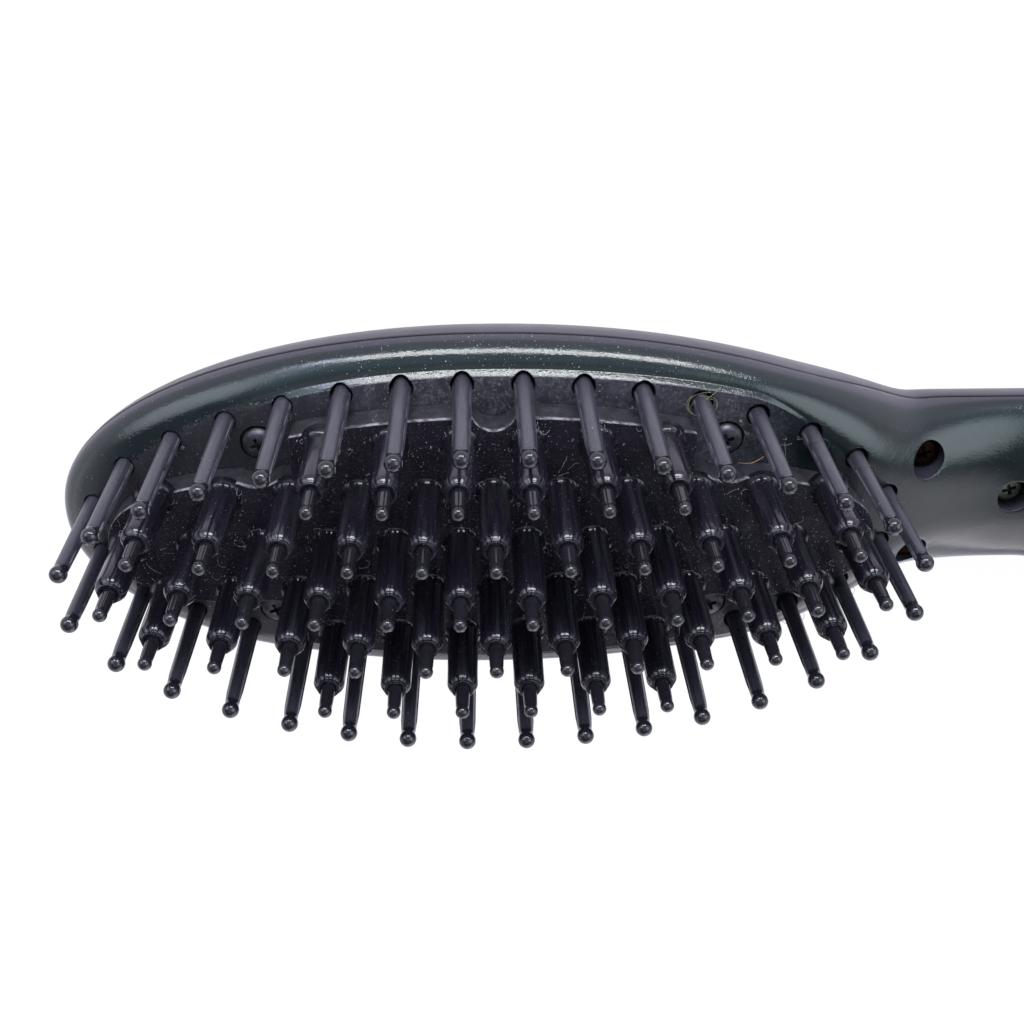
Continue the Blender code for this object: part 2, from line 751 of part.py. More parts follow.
def make_rear_housing(core, material):
    housing = casing_half("rear_housing", False, material)
    boolean(housing, parting_block("above_parting", False), 'DIFFERENCE')
    below = -WALL

    posts = bmesh.new()
    for x, y in head_screws_at:
        add_cylinder(posts, x, y, post_radius, below, head_boss_foot - GAP)
    for x, y in neck_screws_at:
        add_cylinder(posts, x, y, post_radius, below, neck_boss_foot - GAP)
    for x, y in collar_screw_at:
        add_cylinder(posts, x, y, post_radius, below, collar_boss_foot - GAP)
    for x, y in board_screws_at:
        add_cylinder(posts, x, y, BOARD_HEAD_RADIUS + GAP, below, BOARD_BOTTOM - GAP, COARSE)
    for x, y in pin_frame_pegs():
        add_cylinder(posts, x, y, PIN_FRAME_WIDTH / 2, below, pin_frame_bottom - GAP, COARSE)
    for x, y in tail_screws_at:
        add_cylinder(posts, x, y, boss_radius, below, tail_post_top)
    for x, side in plate_posts_at:
        for y in (-side, side):
            add_cylinder(posts, x, y, SKIRT_WALL, below, skirt_bottom - GAP, TIP_SIDES)
    post_piece = helper("rear_posts", posts)
    boolean(post_piece, core, 'INTERSECT')
    boolean(housing, post_piece, 'UNION')

    pilots = bmesh.new()
    bore = CASING_SCREW_RADIUS + GAP
    for places, top in ((head_screws_at, head_seat), (neck_screws_at, neck_seat),
                        (collar_screw_at, collar_seat)):
        for x, y in places:
            add_cylinder(pilots, x, y, bore, top - CASING_SCREW_LENGTH, top, COARSE)
    for x, y in board_screws_at:
        add_cylinder(pilots, x, y, BOARD_SCREW_RADIUS + GAP, BOARD_BOTTOM / 2, BOARD_BOTTOM, COARSE)
    for x, y in tail_screws_at:
        well = CASING_HEAD_RADIUS + GAP
        high = tail_post_top + GAP
        add_turned(pilots, [(0, below), (well, below), (well, TAIL_SEAT), (bore, TAIL_SEAT),
                            (bore, high), (0, high)], (x, y, 0))
    boolean(housing, helper("rear_pilots", pilots), 'DIFFERENCE')
    boolean(housing, gland_bore("rear_gland_bore"), 'DIFFERENCE')
    return housing


# Pins, teeth and tips

def ball_end(radius, neck, middle, steps):
    """Profile points of a ball on a neck, from the neck to the top."""
    start = -math.acos(min(neck / radius, 1.0))
    turns = [start + (math.pi / 2 - start) * i / steps for i in range(steps + 1)]
    points = [(radius * math.cos(turn), middle + radius * math.sin(turn)) for turn in turns]
    points[-1] = (0, middle + radius)
    return points


def make_pin_ring(material):
    """The outer pins and the ring that carries them under the casing, one moulding."""
    half = PIN_FRAME_WIDTH / 2
    outer = oval(ring_a + half, ring_b + half, PIN_COUNT)
    inner = oval(ring_a - half, ring_b - half, PIN_COUNT)
    ring = flat_mesh("pin_ring", outer, pin_frame_bottom, pin_frame_top, inner)
    piece = part("pin_ring", ring, material)
    pins = bmesh.new()
    foot = (pin_frame_bottom + pin_frame_top) / 2
    for x, y in pins_at:
        ball = pin_top(x) - PIN_BALL_RADIUS
        profile = [(0, foot), (pin_foot_radius, foot), (pin_foot_radius, seat_under),
                   (PIN_RADIUS, seat_under), *ball_end(PIN_BALL_RADIUS, PIN_TIP_RADIUS, ball, 2)]
        add_turned(pins, profile, (x, y, 0), PIN_SIDES)
    boolean(piece, helper("outer_pins", pins), 'UNION')
    return piece


def tooth_places():
    places = []
    middle_row = (len(ROW_TEETH) - 1) / 2
    for row, count in enumerate(ROW_TEETH):
        y = (middle_row - row) * ROW_PITCH
        places += [((i - (count - 1) / 2) * TOOTH_PITCH, y) for i in range(count)]
    return places


teeth_at = tooth_places()


def tooth_end(x, y):
    """Height of a tooth's end face."""
    drop = TOOTH_DROP_ALONG * (x / field_half_length) ** 2
    drop += TOOTH_DROP_ACROSS * (y / field_half_width) ** 2
    return TOOTH_TOP - drop


def teeth():
    """The teeth with their nylon tips set in, standing up out of the plate's thickness."""
    bm = bmesh.new()
    foot = (plate_under + plate_top) / 2
    for x, y in teeth_at:
        end = tooth_end(x, y)
        ball = ball_end(TIP_BALL_RADIUS, TIP_RADIUS, end + TIP_LENGTH, 2)
        profile = [(0, foot), (TOOTH_ROOT_RADIUS, foot), (TOOTH_TOP_RADIUS, end - TOOTH_SHOULDER),
                   (TOOTH_END_RADIUS, end), (TIP_RADIUS, end), *ball]
        add_turned(bm, profile, (x, y, 0), PIN_SIDES)
    return bm


# Heated plate and what lies under it

def clamp_screw_places():
    return [(side * clamp_reach, 0.0) for side in (-1, 0, 1)]


def heater_ends():
    """Start and end along X of the two ceramic strips."""
    near = CLAMP_BOSS_RADIUS + GAP + HEATER_SPACE / 4
    far = clamp_reach - CLAMP_BOSS_RADIUS - HEATER_SPACE
    return [(-far, -near), (near, far)]


def make_skirt():
    """Walls under the plate, with the lip that keeps it in the casing."""
    skirt = plate_solid("plate_skirt", seat_under - PLATE_LIP_THICKNESS / 2,
                        plate_under + PLATE_THICKNESS / 3, -PLATE_DRAFT)
    lip = plate_solid("plate_lip", skirt_bottom, seat_under, GAP + PLATE_LIP)
    boolean(skirt, lip, 'UNION')
    half = spine_half_width - SKIRT_WALL
    reach = spine_half_length - SKIRT_WALL
    low = skirt_bottom - WALL
    pockets = bmesh.new()
    pockets.from_mesh(flat_mesh("pocket", stadium(-reach, reach, 2 * half), low, plate_top))
    for side in (1, -1):
        near = side * (half + SKIRT_WALL)
        far = side * (lobe_b - NOTCH_DEPTH - 2 * SKIRT_WALL)
        long = lobe_half_length - PLATE_SHOULDER
        add_box(pockets, (-long, min(near, far), low), (long, max(near, far), plate_top))
    boolean(skirt, helper("plate_pockets", pockets), 'DIFFERENCE')
    return skirt


def make_heated_plate(material):
    slab = plate_solid("plate_slab", plate_under, plate_top, 0.0)
    plate = part("heated_plate", slab.data.copy(), material)
    for modifier in slab.modifiers:
        boolean(plate, modifier.object, modifier.operation)

    boolean(plate, helper("teeth", teeth()), 'UNION')
    boolean(plate, make_skirt(), 'UNION')

    bosses = bmesh.new()
    for x, y in clamp_screw_places():
        add_cylinder(bosses, x, y, CLAMP_BOSS_RADIUS, clamp_top + GAP, plate_under + GAP)
    boolean(plate, helper("clamp_bosses", bosses), 'UNION')
    pilots = bmesh.new()
    for x, y in clamp_screw_places():
        add_cylinder(pilots, x, y, CLAMP_SCREW_RADIUS + GAP, clamp_bottom, plate_under - GAP)
    boolean(plate, helper("clamp_pilots", pilots), 'DIFFERENCE')
    return plate


def make_heater_stack(ceramic, mica, steel, screw):
    half = HEATER_WIDTH / 2
    for number, (start, end) in enumerate(heater_ends(), 1):
        strip = bmesh.new()
        add_box(strip, (start, -half, heater_bottom), (end, half, heater_top))
        part(f"heater_element_{number}", strip, ceramic)

    reach = clamp_reach + CLAMP_BOSS_RADIUS
    for name, low, high, material in (("mica_sheet", mica_bottom, heater_bottom - GAP, mica),
                                      ("heater_clamp", clamp_bottom, clamp_top, steel)):
        piece = part(name, flat_mesh(name, stadium(-reach, reach, HEATER_WIDTH), low, high), material)
        holes = bmesh.new()
        radius = CLAMP_SCREW_RADIUS + GAP
        if name == "mica_sheet":
            radius = CLAMP_BOSS_RADIUS + GAP
        for x, y in clamp_screw_places():
            add_cylinder(holes, x, y, radius, low - GAP, high + GAP, COARSE)
        boolean(piece, helper(name + "_holes", holes), 'DIFFERENCE')

    head = clamp_bottom - GAP
    low = head - CLAMP_HEAD_HEIGHT
    high = plate_under - 3 * GAP
    bm = bmesh.new()
    add_turned(bm, [(0, low), (CLAMP_HEAD_RADIUS, low), (CLAMP_HEAD_RADIUS, head),
                    (CLAMP_SCREW_RADIUS, head), (CLAMP_SCREW_RADIUS, high), (0, high)])
    copies("clamp_screw", bm, screw, [(x, y, 0) for x, y in clamp_screw_places()])


sensor_x = 0.018
sensor_y = HEATER_WIDTH / 2 + GAP + SENSOR_RADIUS
sensor_z = plate_under - GAP - SENSOR_RADIUS
fuse_x = 0.5 * clamp_reach
fuse_z = clamp_bottom - GAP - FUSE_RADIUS


def make_sensors(glass, tin):
    bead = bmesh.new()
    add_turned(bead, [(0, 0), (SENSOR_RADIUS, 0), (SENSOR_RADIUS, SENSOR_LENGTH), (0, SENSOR_LENGTH)],
               (sensor_x, sensor_y, sensor_z), COARSE, 'X')
    part("temperature_sensor", bead, glass)
    fuse = bmesh.new()
    add_turned(fuse, [(0, 0), (FUSE_RADIUS, 0), (FUSE_RADIUS, FUSE_LENGTH), (0, FUSE_LENGTH)],
               (fuse_x, 0, fuse_z), COARSE, 'X')
    part("thermal_fuse", fuse, tin)


# Screws

def make_screws(name, places, seat, material, up=1):
    """Pan head screws, with the head on its seat and the point on the other side."""
    under = up * GAP
    top = under + up * CASING_HEAD_HEIGHT
    rim = under + up * CASING_HEAD_HEIGHT * 0.45
    point = -up * (CASING_SCREW_LENGTH - GAP)
    bm = bmesh.new()
    add_turned(bm, [(0, point), (CASING_SCREW_RADIUS, point), (CASING_SCREW_RADIUS, under),
                    (CASING_HEAD_RADIUS, under), (CASING_HEAD_RADIUS, rim),
                    (CASING_HEAD_RADIUS * 0.75, top), (0, top)])
    copies(name, bm, material, [(x, y, seat) for x, y in places])


# Control panel, buttons and board

buttons = (("heat_up_button", heat_up_x, BUTTON_RADIUS),
           ("heat_down_button", heat_down_x, BUTTON_RADIUS),
           ("power_button", power_x, POWER_RADIUS))


def make_panel(material):
    end = PANEL_START + PANEL_LENGTH
    outline = stadium(PANEL_START, end, PANEL_WIDTH)
    low = panel_bottom + PANEL_LIP_THICKNESS / 2
    panel = part("control_panel", flat_mesh("control_panel", outline, low, panel_top), material)
    outline = stadium(PANEL_START - PANEL_LIP, end + PANEL_LIP, PANEL_WIDTH + 2 * PANEL_LIP)
    lip = flat_mesh("panel_lip", outline, panel_bottom, panel_bottom + PANEL_LIP_THICKNESS)
    boolean(panel, helper("panel_lip", lip), 'UNION')
    panel.modifiers.new("facets", 'TRIANGULATE')
    holes = bmesh.new()
    low = panel_bottom - GAP
    high = panel_top + GAP
    for _, x, radius in buttons:
        add_cylinder(holes, x, 0, radius + SLIDE_GAP, low, high, FINE)
    add_box(holes, (window_x - WINDOW_LENGTH / 2 - GAP, -WINDOW_WIDTH / 2 - GAP, low),
            (window_x + WINDOW_LENGTH / 2 + GAP, WINDOW_WIDTH / 2 + GAP, high))
    boolean(panel, helper("panel_holes", holes), 'DIFFERENCE')
    return panel


def make_button(name, x, radius, material):
    """A cap on a flange that stops under the panel, with a stem over its switch."""
    top = panel_top + BUTTON_PROUD
    flange_top = panel_bottom - GAP
    flange = flange_top - BUTTON_FLANGE_THICKNESS
    stem = board_top + GAP + SWITCH_HEIGHT + SWITCH_PLUNGER_HEIGHT + GAP + BUTTON_TRAVEL
    edge = BUTTON_PROUD / 2
    profile = [(0, stem), (BUTTON_STEM_RADIUS, stem), (BUTTON_STEM_RADIUS, flange),
               (radius + BUTTON_FLANGE, flange), (radius + BUTTON_FLANGE, flange_top),
               (radius, flange_top), (radius, top - edge), (radius - edge, top), (0, top)]
    bm = bmesh.new()
    add_turned(bm, [(r, z - top) for r, z in profile], sides=FINE)
    button = part(name, bm, material)
    button.location = (x, 0, top)
    return button


def make_electronics(board, black, screen, glass, white, tin):
    bm = bmesh.new()
    add_box(bm, (board_start, -BOARD_WIDTH / 2, BOARD_BOTTOM), (board_end, BOARD_WIDTH / 2, board_top))
    board_piece = part("circuit_board", bm, board)
    holes = bmesh.new()
    for x, y in board_screws_at:
        add_cylinder(holes, x, y, BOARD_SCREW_RADIUS + GAP, BOARD_BOTTOM - GAP, board_top + GAP, COARSE)
    boolean(board_piece, helper("board_holes", holes), 'DIFFERENCE')

    bm = bmesh.new()
    under = board_top + GAP
    top = under + BOARD_HEAD_HEIGHT
    low = BOARD_BOTTOM / 2 + GAP
    add_turned(bm, [(0, low), (BOARD_SCREW_RADIUS, low), (BOARD_SCREW_RADIUS, under),
                    (BOARD_HEAD_RADIUS, under), (BOARD_HEAD_RADIUS, top), (0, top)])
    copies("board_screw", bm, tin, [(x, y, 0) for x, y in board_screws_at])

    foot = board_top + GAP
    half = SWITCH_SIDE / 2
    for number, (_, x, _) in enumerate(buttons, 1):
        name = f"tact_switch_{number}"
        bm = bmesh.new()
        add_box(bm, (x - half, -half, foot), (x + half, half, foot + SWITCH_HEIGHT))
        switch = part(name, bm, black)
        bm = bmesh.new()
        add_cylinder(bm, x, 0, SWITCH_PLUNGER_RADIUS, foot + SWITCH_HEIGHT / 2,
                     foot + SWITCH_HEIGHT + SWITCH_PLUNGER_HEIGHT, COARSE)
        boolean(switch, helper(name + "_plunger", bm), 'UNION')

    window_top = panel_top - PANEL_PROUD / 2
    window_low = window_top - WINDOW_THICKNESS
    bm = bmesh.new()
    add_box(bm, (window_x - WINDOW_LENGTH / 2, -WINDOW_WIDTH / 2, window_low),
            (window_x + WINDOW_LENGTH / 2, WINDOW_WIDTH / 2, window_top))
    part("display_window", bm, glass)
    bm = bmesh.new()
    add_box(bm, (window_x - WINDOW_LENGTH / 2 + GAP, -WINDOW_WIDTH / 2 + GAP, foot),
            (window_x + WINDOW_LENGTH / 2 - GAP, WINDOW_WIDTH / 2 - GAP, window_low - GAP))
    part("display_module", bm, screen)

    length, width, height = TRIAC_SIZE
    bm = bmesh.new()
    high = BOARD_BOTTOM - GAP
    add_box(bm, (heat_down_x - length / 2, -width / 2, high - height),
            (heat_down_x + length / 2, width / 2, high))
    part("triac", bm, black)
    bm = bmesh.new()
    add_turned(bm, [(0, 0), (CAPACITOR_RADIUS, 0), (CAPACITOR_RADIUS, CAPACITOR_LENGTH),
                    (0, CAPACITOR_LENGTH)], (board_start + GAP, 0, foot + CAPACITOR_RADIUS), COARSE, 'X')
    part("capacitor", bm, white)


# Cord gland and its contacts

flange_end = handle_end - WALL - GAP
stub_end = flange_end - GLAND_FLANGE_THICKNESS
stub_start = stub_end - GLAND_STUB_LENGTH


def make_gland(material, brass):
    nose = handle_end + GAP
    nose_end = nose + GLAND_NOSE_LENGTH
    edge = GLAND_NOSE_RADIUS - 2 * GAP
    floor = nose_end - CORD_BORE_DEPTH
    profile = [(0, stub_start), (GLAND_STUB_RADIUS, stub_start), (GLAND_STUB_RADIUS, stub_end),
               (GLAND_FLANGE_RADIUS, stub_end), (GLAND_FLANGE_RADIUS, flange_end),
               (GLAND_NECK_RADIUS, flange_end), (GLAND_NECK_RADIUS, nose),
               (GLAND_NOSE_RADIUS, nose), (GLAND_NOSE_RADIUS, (nose + nose_end) / 2),
               (edge - GAP, nose_end), (CORD_BORE_RADIUS, nose_end), (CORD_BORE_RADIUS, floor),
               (0, floor)]
    bm = bmesh.new()
    add_turned(bm, [(r, x - handle_end) for r, x in profile], (0, 0, 0), 16, 'X')
    gland = part("swivel_gland", bm, material)
    gland.location = (handle_end, 0, gland_z)

    starts = [slip_ring_start(index) for index in (0, 1)]
    copies("slip_ring", slip_ring(), brass, [(start, 0, gland_z) for start in starts])


def slip_ring_start(index):
    return stub_start + GAP + index * (SLIP_RING_WIDTH + SLIP_RING_SPACE)


def slip_ring():
    """A plain tube along X."""
    inner = GLAND_STUB_RADIUS + GAP
    outer = inner + SLIP_RING_WALL
    ring = bmesh.new()
    corners = [(inner, 0), (inner, SLIP_RING_WIDTH), (outer, SLIP_RING_WIDTH), (outer, 0)]
    loop = [ring.verts.new((radius, 0, along)) for radius, along in corners]
    for first, second in zip(loop, loop[1:] + loop[:1]):
        ring.edges.new((first, second))
    bmesh.ops.spin(ring, geom=ring.verts[:] + ring.edges[:], axis=(0, 0, 1), cent=(0, 0, 0),
                   angle=2 * math.pi, steps=16, use_merge=True)
    bmesh.ops.remove_doubles(ring, verts=ring.verts, dist=1e-6)
    bmesh.ops.recalc_face_normals(ring, faces=ring.faces)
    bmesh.ops.transform(ring, matrix=Matrix.Rotation(math.pi / 2, 4, 'Y'), verts=ring.verts)
    return ring


def make_contacts(material):
    """Two spring strips from the board to the slip rings, bent from flat stock."""
    rest = gland_z + GLAND_STUB_RADIUS + 2 * GAP + SLIP_RING_WALL
    foot = board_top + GAP
    start = board_end - 2 * CONTACT_WIDTH
    thick = CONTACT_THICKNESS
    for index, side in ((0, 1), (1, -1)):
        ring = slip_ring_start(index)
        middle = ring + SLIP_RING_WIDTH / 2
        end = ring + SLIP_RING_WIDTH
        high = rest + (1 + 2 * index) * CONTACT_WIDTH / 2
        lift = rest + CONTACT_WIDTH / 4
        outline = [(start, foot), (start, high), (ring - GAP, high), (middle, rest + thick),
                   (end, lift + thick), (end, lift), (middle, rest), (ring - GAP, high - thick),
                   (start + thick, high - thick), (start + thick, foot)]
        strip = flat_mesh("strip", outline, -CONTACT_WIDTH / 2, CONTACT_WIDTH / 2)
        strip.transform(Matrix.Translation((0, side * (CONTACT_WIDTH / 2 + GAP), 0))
                        @ Matrix.Rotation(math.pi / 2, 4, 'X'))
        part(f"contact_spring_{index + 1}", strip, material)


# Wiring between the board and the head

def heater_lead_route(side):
    """From the board, past the neck screws and under the plate's skirt, to the ceramic strip."""
    radius = HEATER_LEAD_RADIUS
    neck_y = boss_radius + 2 * radius
    neck_z = NECK_HEIGHT / 2
    frame_z = pin_frame_bottom - radius - 0.0025
    pocket_y = HEATER_WIDTH / 2 + GAP + radius
    strip_z = (heater_bottom + heater_top) / 2
    strip_x = heater_ends()[1][1]
    return [(board_start - GAP, side * 0.006, board_top + radius),
            (COLLAR_SCREW_X + boss_radius, side * neck_y, neck_z),
            (COLLAR_SCREW_X - boss_radius, side * neck_y, neck_z),
            (NECK_SCREW_X, side * 3 * radius, neck_z + 0.002),
            (ring_a - 0.002, side * 3 * radius, frame_z),
            (spine_half_length - 0.004, side * 0.0055, skirt_bottom - 3 * radius),
            (strip_x + 0.0044, side * pocket_y, skirt_bottom),
            (strip_x + 0.0034, side * pocket_y, strip_z - 2 * radius),
            (strip_x + 0.0024, side * (pocket_y - radius), strip_z),
            (strip_x + 0.0010, side * (pocket_y - 4 * radius), strip_z)]


def sensor_lead_route(index):
    """From the board, low through the neck, to the bead beside the ceramic strip."""
    side = 1 - 2 * index
    radius = SENSOR_LEAD_RADIUS
    neck_y = boss_radius + 4 * HEATER_LEAD_RADIUS
    low = NECK_HEIGHT / 3
    pocket_y = HEATER_WIDTH / 2 + GAP + radius + (2 * radius + GAP) * (1 - index)
    end = sensor_x + SENSOR_LENGTH
    return [(board_start - GAP, side * 0.0085, board_top + radius),
            (COLLAR_SCREW_X + 2 * boss_radius, side * (neck_y + radius), low + 0.003),
            (COLLAR_SCREW_X + boss_radius, side * neck_y, low),
            (COLLAR_SCREW_X - boss_radius, side * neck_y, low),
            (NECK_SCREW_X + boss_radius, side * 0.0025, low),
            (NECK_SCREW_X, side * 0.0009, low + 0.002),
            (ring_a - 0.002, side * 0.0009, low + 0.006),
            (ring_a - 0.013, pocket_y - 0.003, pin_frame_bottom - 0.0035),
            (end + 0.012, pocket_y, pin_frame_bottom - 0.001),
            (end + 0.007, pocket_y, skirt_bottom + 0.001),
            (end + 0.003, pocket_y, sensor_z - radius),
            (end + GAP, pocket_y, sensor_z)]


def make_leads(heater_wire, sensor_wire):
    (_, left), (right, _) = heater_ends()
    y = CLAMP_BOSS_RADIUS + GAP + 2 * HEATER_LEAD_RADIUS
    z = (heater_bottom + heater_top) / 2
    for number, side in ((1, 1), (2, -1)):
        wire(f"heater_lead_{number}", heater_lead_route(side), HEATER_LEAD_RADIUS, heater_wire)
        wire(f"sensor_lead_{number}", sensor_lead_route(number - 1), SENSOR_LEAD_RADIUS, sensor_wire)
        route = [(left + GAP, side * y, z), (0, side * y, z), (right - GAP, side * y, z)]
        wire(f"jumper_lead_{number}", route, HEATER_LEAD_RADIUS, heater_wire)


def main():
    gloss_black = finish((0.010, 0.014, 0.015), 0.18)
    satin_black = finish((0.035, 0.033, 0.038), 0.42)
    nylon = finish((0.030, 0.028, 0.034), 0.35)
    core = casing_core()
    make_rear_housing(core, satin_black)
    make_front_shell(core, gloss_black)
    make_pin_ring(nylon)
    make_heated_plate(finish((0.008, 0.007, 0.010), 0.25))
    make_heater_stack(finish((0.80, 0.78, 0.72), 0.6), finish((0.55, 0.42, 0.25), 0.4),
                      finish((0.55, 0.55, 0.56), 0.35, 1.0), finish((0.45, 0.45, 0.46), 0.3, 1.0))
    make_sensors(finish((0.70, 0.45, 0.20), 0.2), finish((0.70, 0.70, 0.72), 0.3, 1.0))
    make_screws("head_screw", head_screws_at, head_seat, finish((0.12, 0.12, 0.13), 0.35, 1.0))
    make_screws("neck_screw", neck_screws_at, neck_seat, finish((0.25, 0.12, 0.08), 0.6, 1.0))
    make_screws("collar_screw", collar_screw_at, collar_seat, finish((0.30, 0.30, 0.28), 0.45, 1.0))
    make_screws("tail_screw", tail_screws_at, TAIL_SEAT, finish((0.30, 0.30, 0.30), 0.4, 1.0), up=-1)
    make_panel(finish((0.006, 0.006, 0.007), 0.08))
    for name, x, radius in buttons:
        make_button(name, x, radius, finish((0.09, 0.09, 0.10), 0.45))
    make_electronics(finish((0.02, 0.16, 0.06), 0.5), finish((0.02, 0.02, 0.02), 0.5),
                     finish((0.02, 0.03, 0.04), 0.3), finish((0.02, 0.02, 0.025), 0.05),
                     finish((0.75, 0.75, 0.72), 0.5), finish((0.65, 0.65, 0.66), 0.3, 1.0))
    make_gland(finish((0.02, 0.02, 0.022), 0.4), finish((0.80, 0.58, 0.25), 0.3, 1.0))
    make_contacts(finish((0.80, 0.60, 0.30), 0.35, 1.0))
    make_leads(finish((0.75, 0.10, 0.08), 0.5), finish((0.85, 0.85, 0.82), 0.5))


main()
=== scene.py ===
"""The looks of a hair straightening brush that lies on its back with its pins up.

X runs along the brush from the head to the tail, Y across it, and Z up. All sizes are in metres.
The casing, the pins and the heated plate are made again here with fine curves, on the sizes of the CAD model.
"""

import math
import random

import bmesh
import bpy
from mathutils import Matrix, Vector


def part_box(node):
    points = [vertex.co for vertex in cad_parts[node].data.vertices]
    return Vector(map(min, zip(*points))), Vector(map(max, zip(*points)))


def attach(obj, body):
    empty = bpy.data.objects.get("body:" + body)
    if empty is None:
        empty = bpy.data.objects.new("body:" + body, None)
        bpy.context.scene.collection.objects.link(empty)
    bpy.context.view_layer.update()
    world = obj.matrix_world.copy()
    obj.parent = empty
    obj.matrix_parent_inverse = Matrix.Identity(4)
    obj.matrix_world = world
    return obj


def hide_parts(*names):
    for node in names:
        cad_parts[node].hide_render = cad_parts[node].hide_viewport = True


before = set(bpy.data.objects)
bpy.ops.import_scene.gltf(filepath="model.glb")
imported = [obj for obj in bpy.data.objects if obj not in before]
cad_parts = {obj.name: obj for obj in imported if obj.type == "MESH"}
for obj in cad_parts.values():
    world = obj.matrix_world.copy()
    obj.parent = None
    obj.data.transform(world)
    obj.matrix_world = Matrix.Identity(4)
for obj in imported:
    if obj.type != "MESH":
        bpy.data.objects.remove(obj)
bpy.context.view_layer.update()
chance = random.Random(11)

# Sizes that the casing shares with the CAD model

GAP = 0.0003
PARTING_GAP = 0.0003
WALL = 0.0020
RING_A = 0.0589             # half axes of the oval that the nylon pins stand on
RING_B = 0.0228
HEAD_TIP = 0.0639
HEAD_ROOT = 0.0651
HEAD_HALF_WIDTH = 0.0281
OUTLINE_POWER = 2.1
LEDGE_HEIGHT = 0.0230
HEAD_PARTING = 0.0172
RIM_FLAT = 0.853
BACK_FLAT = 0.36
NECK_START = 0.060
NECK_END = 0.084
NECK_HALF_WIDTH = 0.0142
NECK_HEIGHT = 0.0165
NECK_PARTING = 0.0102
NECK_FLAT = 0.12
GRIP_START = 0.120
GRIP_END = 0.200
GRIP_HALF_WIDTH = 0.0165
GRIP_HEIGHT = 0.0245
GRIP_PARTING = 0.0115
GRIP_FLAT = 0.56
HANDLE_END = 0.224
TAIL_HALF_WIDTH = 0.0125
TAIL_HEIGHT = 0.0220
TAIL_ROUND = 0.0025
PANEL_START = 0.1000
PANEL_END = 0.1700
PANEL_WIDTH = 0.0150
PANEL_TOP = 0.0247
PANEL_BOTTOM = 0.0212

# Pins, teeth and plate

PIN_COUNT = 32
PIN_RADIUS = 0.00125
PIN_TIP_RADIUS = 0.00100
PIN_BALL_RADIUS = 0.00120
PIN_HEIGHT = 0.0456
PIN_DROOP = 0.0039
PIN_FOOT_RADIUS = 0.00155
PIN_FRAME_WIDTH = 0.0028
PIN_FRAME_TOP = 0.0190
PIN_FRAME_BOTTOM = 0.0175
SEAT_UNDER = 0.0204
TOOTH_PITCH = 0.0095
ROW_PITCH = 0.0080
ROW_TEETH = (6, 11, 12, 11, 6)
TOOTH_ROOT = 0.00225
TOOTH_TOP = 0.00218
TOOTH_HEIGHT = 0.0430
TOOTH_SHOULDER = 0.0014     # from a tooth's end down to where it starts to round
LAST_TOOTH_X = 0.05225      # the teeth get lower toward the last ones along and across the head
LAST_TOOTH_Y = 0.0160
TOOTH_DROP_ALONG = 0.0034
TOOTH_DROP_ACROSS = 0.0016
TIP_RADIUS = 0.00102
TIP_LENGTH = 0.0047
TIP_BALL_RADIUS = 0.00096
TIP_SEAM = 0.00003
PLATE_TOP = 0.0279
SKIRT_BOTTOM = 0.0192
BITE_RADIUS = 0.0046
NOTCH_RADIUS = 0.0031
NOTCH_DEPTH = 0.0020
SPINE_HALF_LENGTH = 0.05505
SPINE_HALF_WIDTH = 0.0108
LOBE_HALF_LENGTH = 0.02805
LOBE_A = RING_A - 0.00275
LOBE_B = RING_B - 0.00275

# Screws

HEAD_SCREW_X = 0.0331
HEAD_SCREW_Y = 0.01415
NECK_SCREW_X = 0.0646
NECK_SCREW_Y = 0.0080
COLLAR_SCREW_X = 0.0802
TAIL_SCREW_X = 0.1940
TAIL_SCREW_Y = 0.0076
SCREW_RADIUS = 0.0011
SCREW_HEAD_RADIUS = 0.0023
SCREW_HEAD_HEIGHT = 0.0016
SCREW_LENGTH = 0.0085
SCREW_EDGE = 0.0006         # height of the head's upright edge
THREAD_PITCH = 0.0007
THREAD_DEPTH = 0.00022
WELL_DEPTH = 0.0042
SEAT_FLOOR = 0.0020         # plastic under a screw's head
BOSS_RADIUS = 0.0040
POST_RADIUS = 0.0028
TAIL_SEAT = 0.0030

# Cord gland

GLAND_BORE_RADIUS = 0.0053
GLAND_RADIUS = 0.0064
GLAND_LENGTH = 0.0095
GLAND_RIBS = 4
RIB_START = 0.0012          # from the gland's nose to its first rib
RIB_PITCH = 0.0013
RIB_GROOVE = 0.0006
CORD_HOLE_RADIUS = 0.0033
CORD_HOLE_DEPTH = 0.0120

# Detail that only shows here

PIN_HOLE_SHIFT = 0.00012    # the pin holes away from the tip are this much wider, and further out
HOLE_LIP = 0.00012          # rounding round the holes in the casing
PARTING_EDGE = 0.00025      # rounding of both halves at the parting line
PLATE_GAP = 0.00006         # dust closes most of the gap round the plate
LEDGE_STEP = 0.00090        # the ledge round the plate stands this much above the shoulder
STEP_WIDTH = 0.031          # how wide that step is, as a share of the half width
PLATE_EDGE = 0.00040        # rounding of the plate's edge
ROOT_FILLET = 0.0008        # round foot of each tooth
SEAM_HEIGHT = 0.00015       # mould seam along the sides of each pin
SECTION_STEPS = 26          # points on the round part of half a section, and on the step
EDGE_STEPS = 12


def smooth(x, start, end):
    """Rise from 0 at start to 1 at end, level at both."""
    t = min(max((x - start) / (end - start), 0.0), 1.0)
    return t * t * (3 - 2 * t)


def slope(x, start, end, rounded=0.12):
    """Rise from 0 at start to 1 at end, straight but for short rounded ends."""
    t = min(max((x - start) / (end - start), 0.0), 1.0)
    bend = 2 * rounded * (1 - rounded)
    if t < rounded:
        return t * t / bend
    return 1 - (1 - t) ** 2 / bend if t > 1 - rounded else (t - rounded / 2) / (1 - rounded)


def spread(start, end, count):
    """Count evenly spaced places from start, short of end."""
    return [start + (end - start) * i / count for i in range(count)]


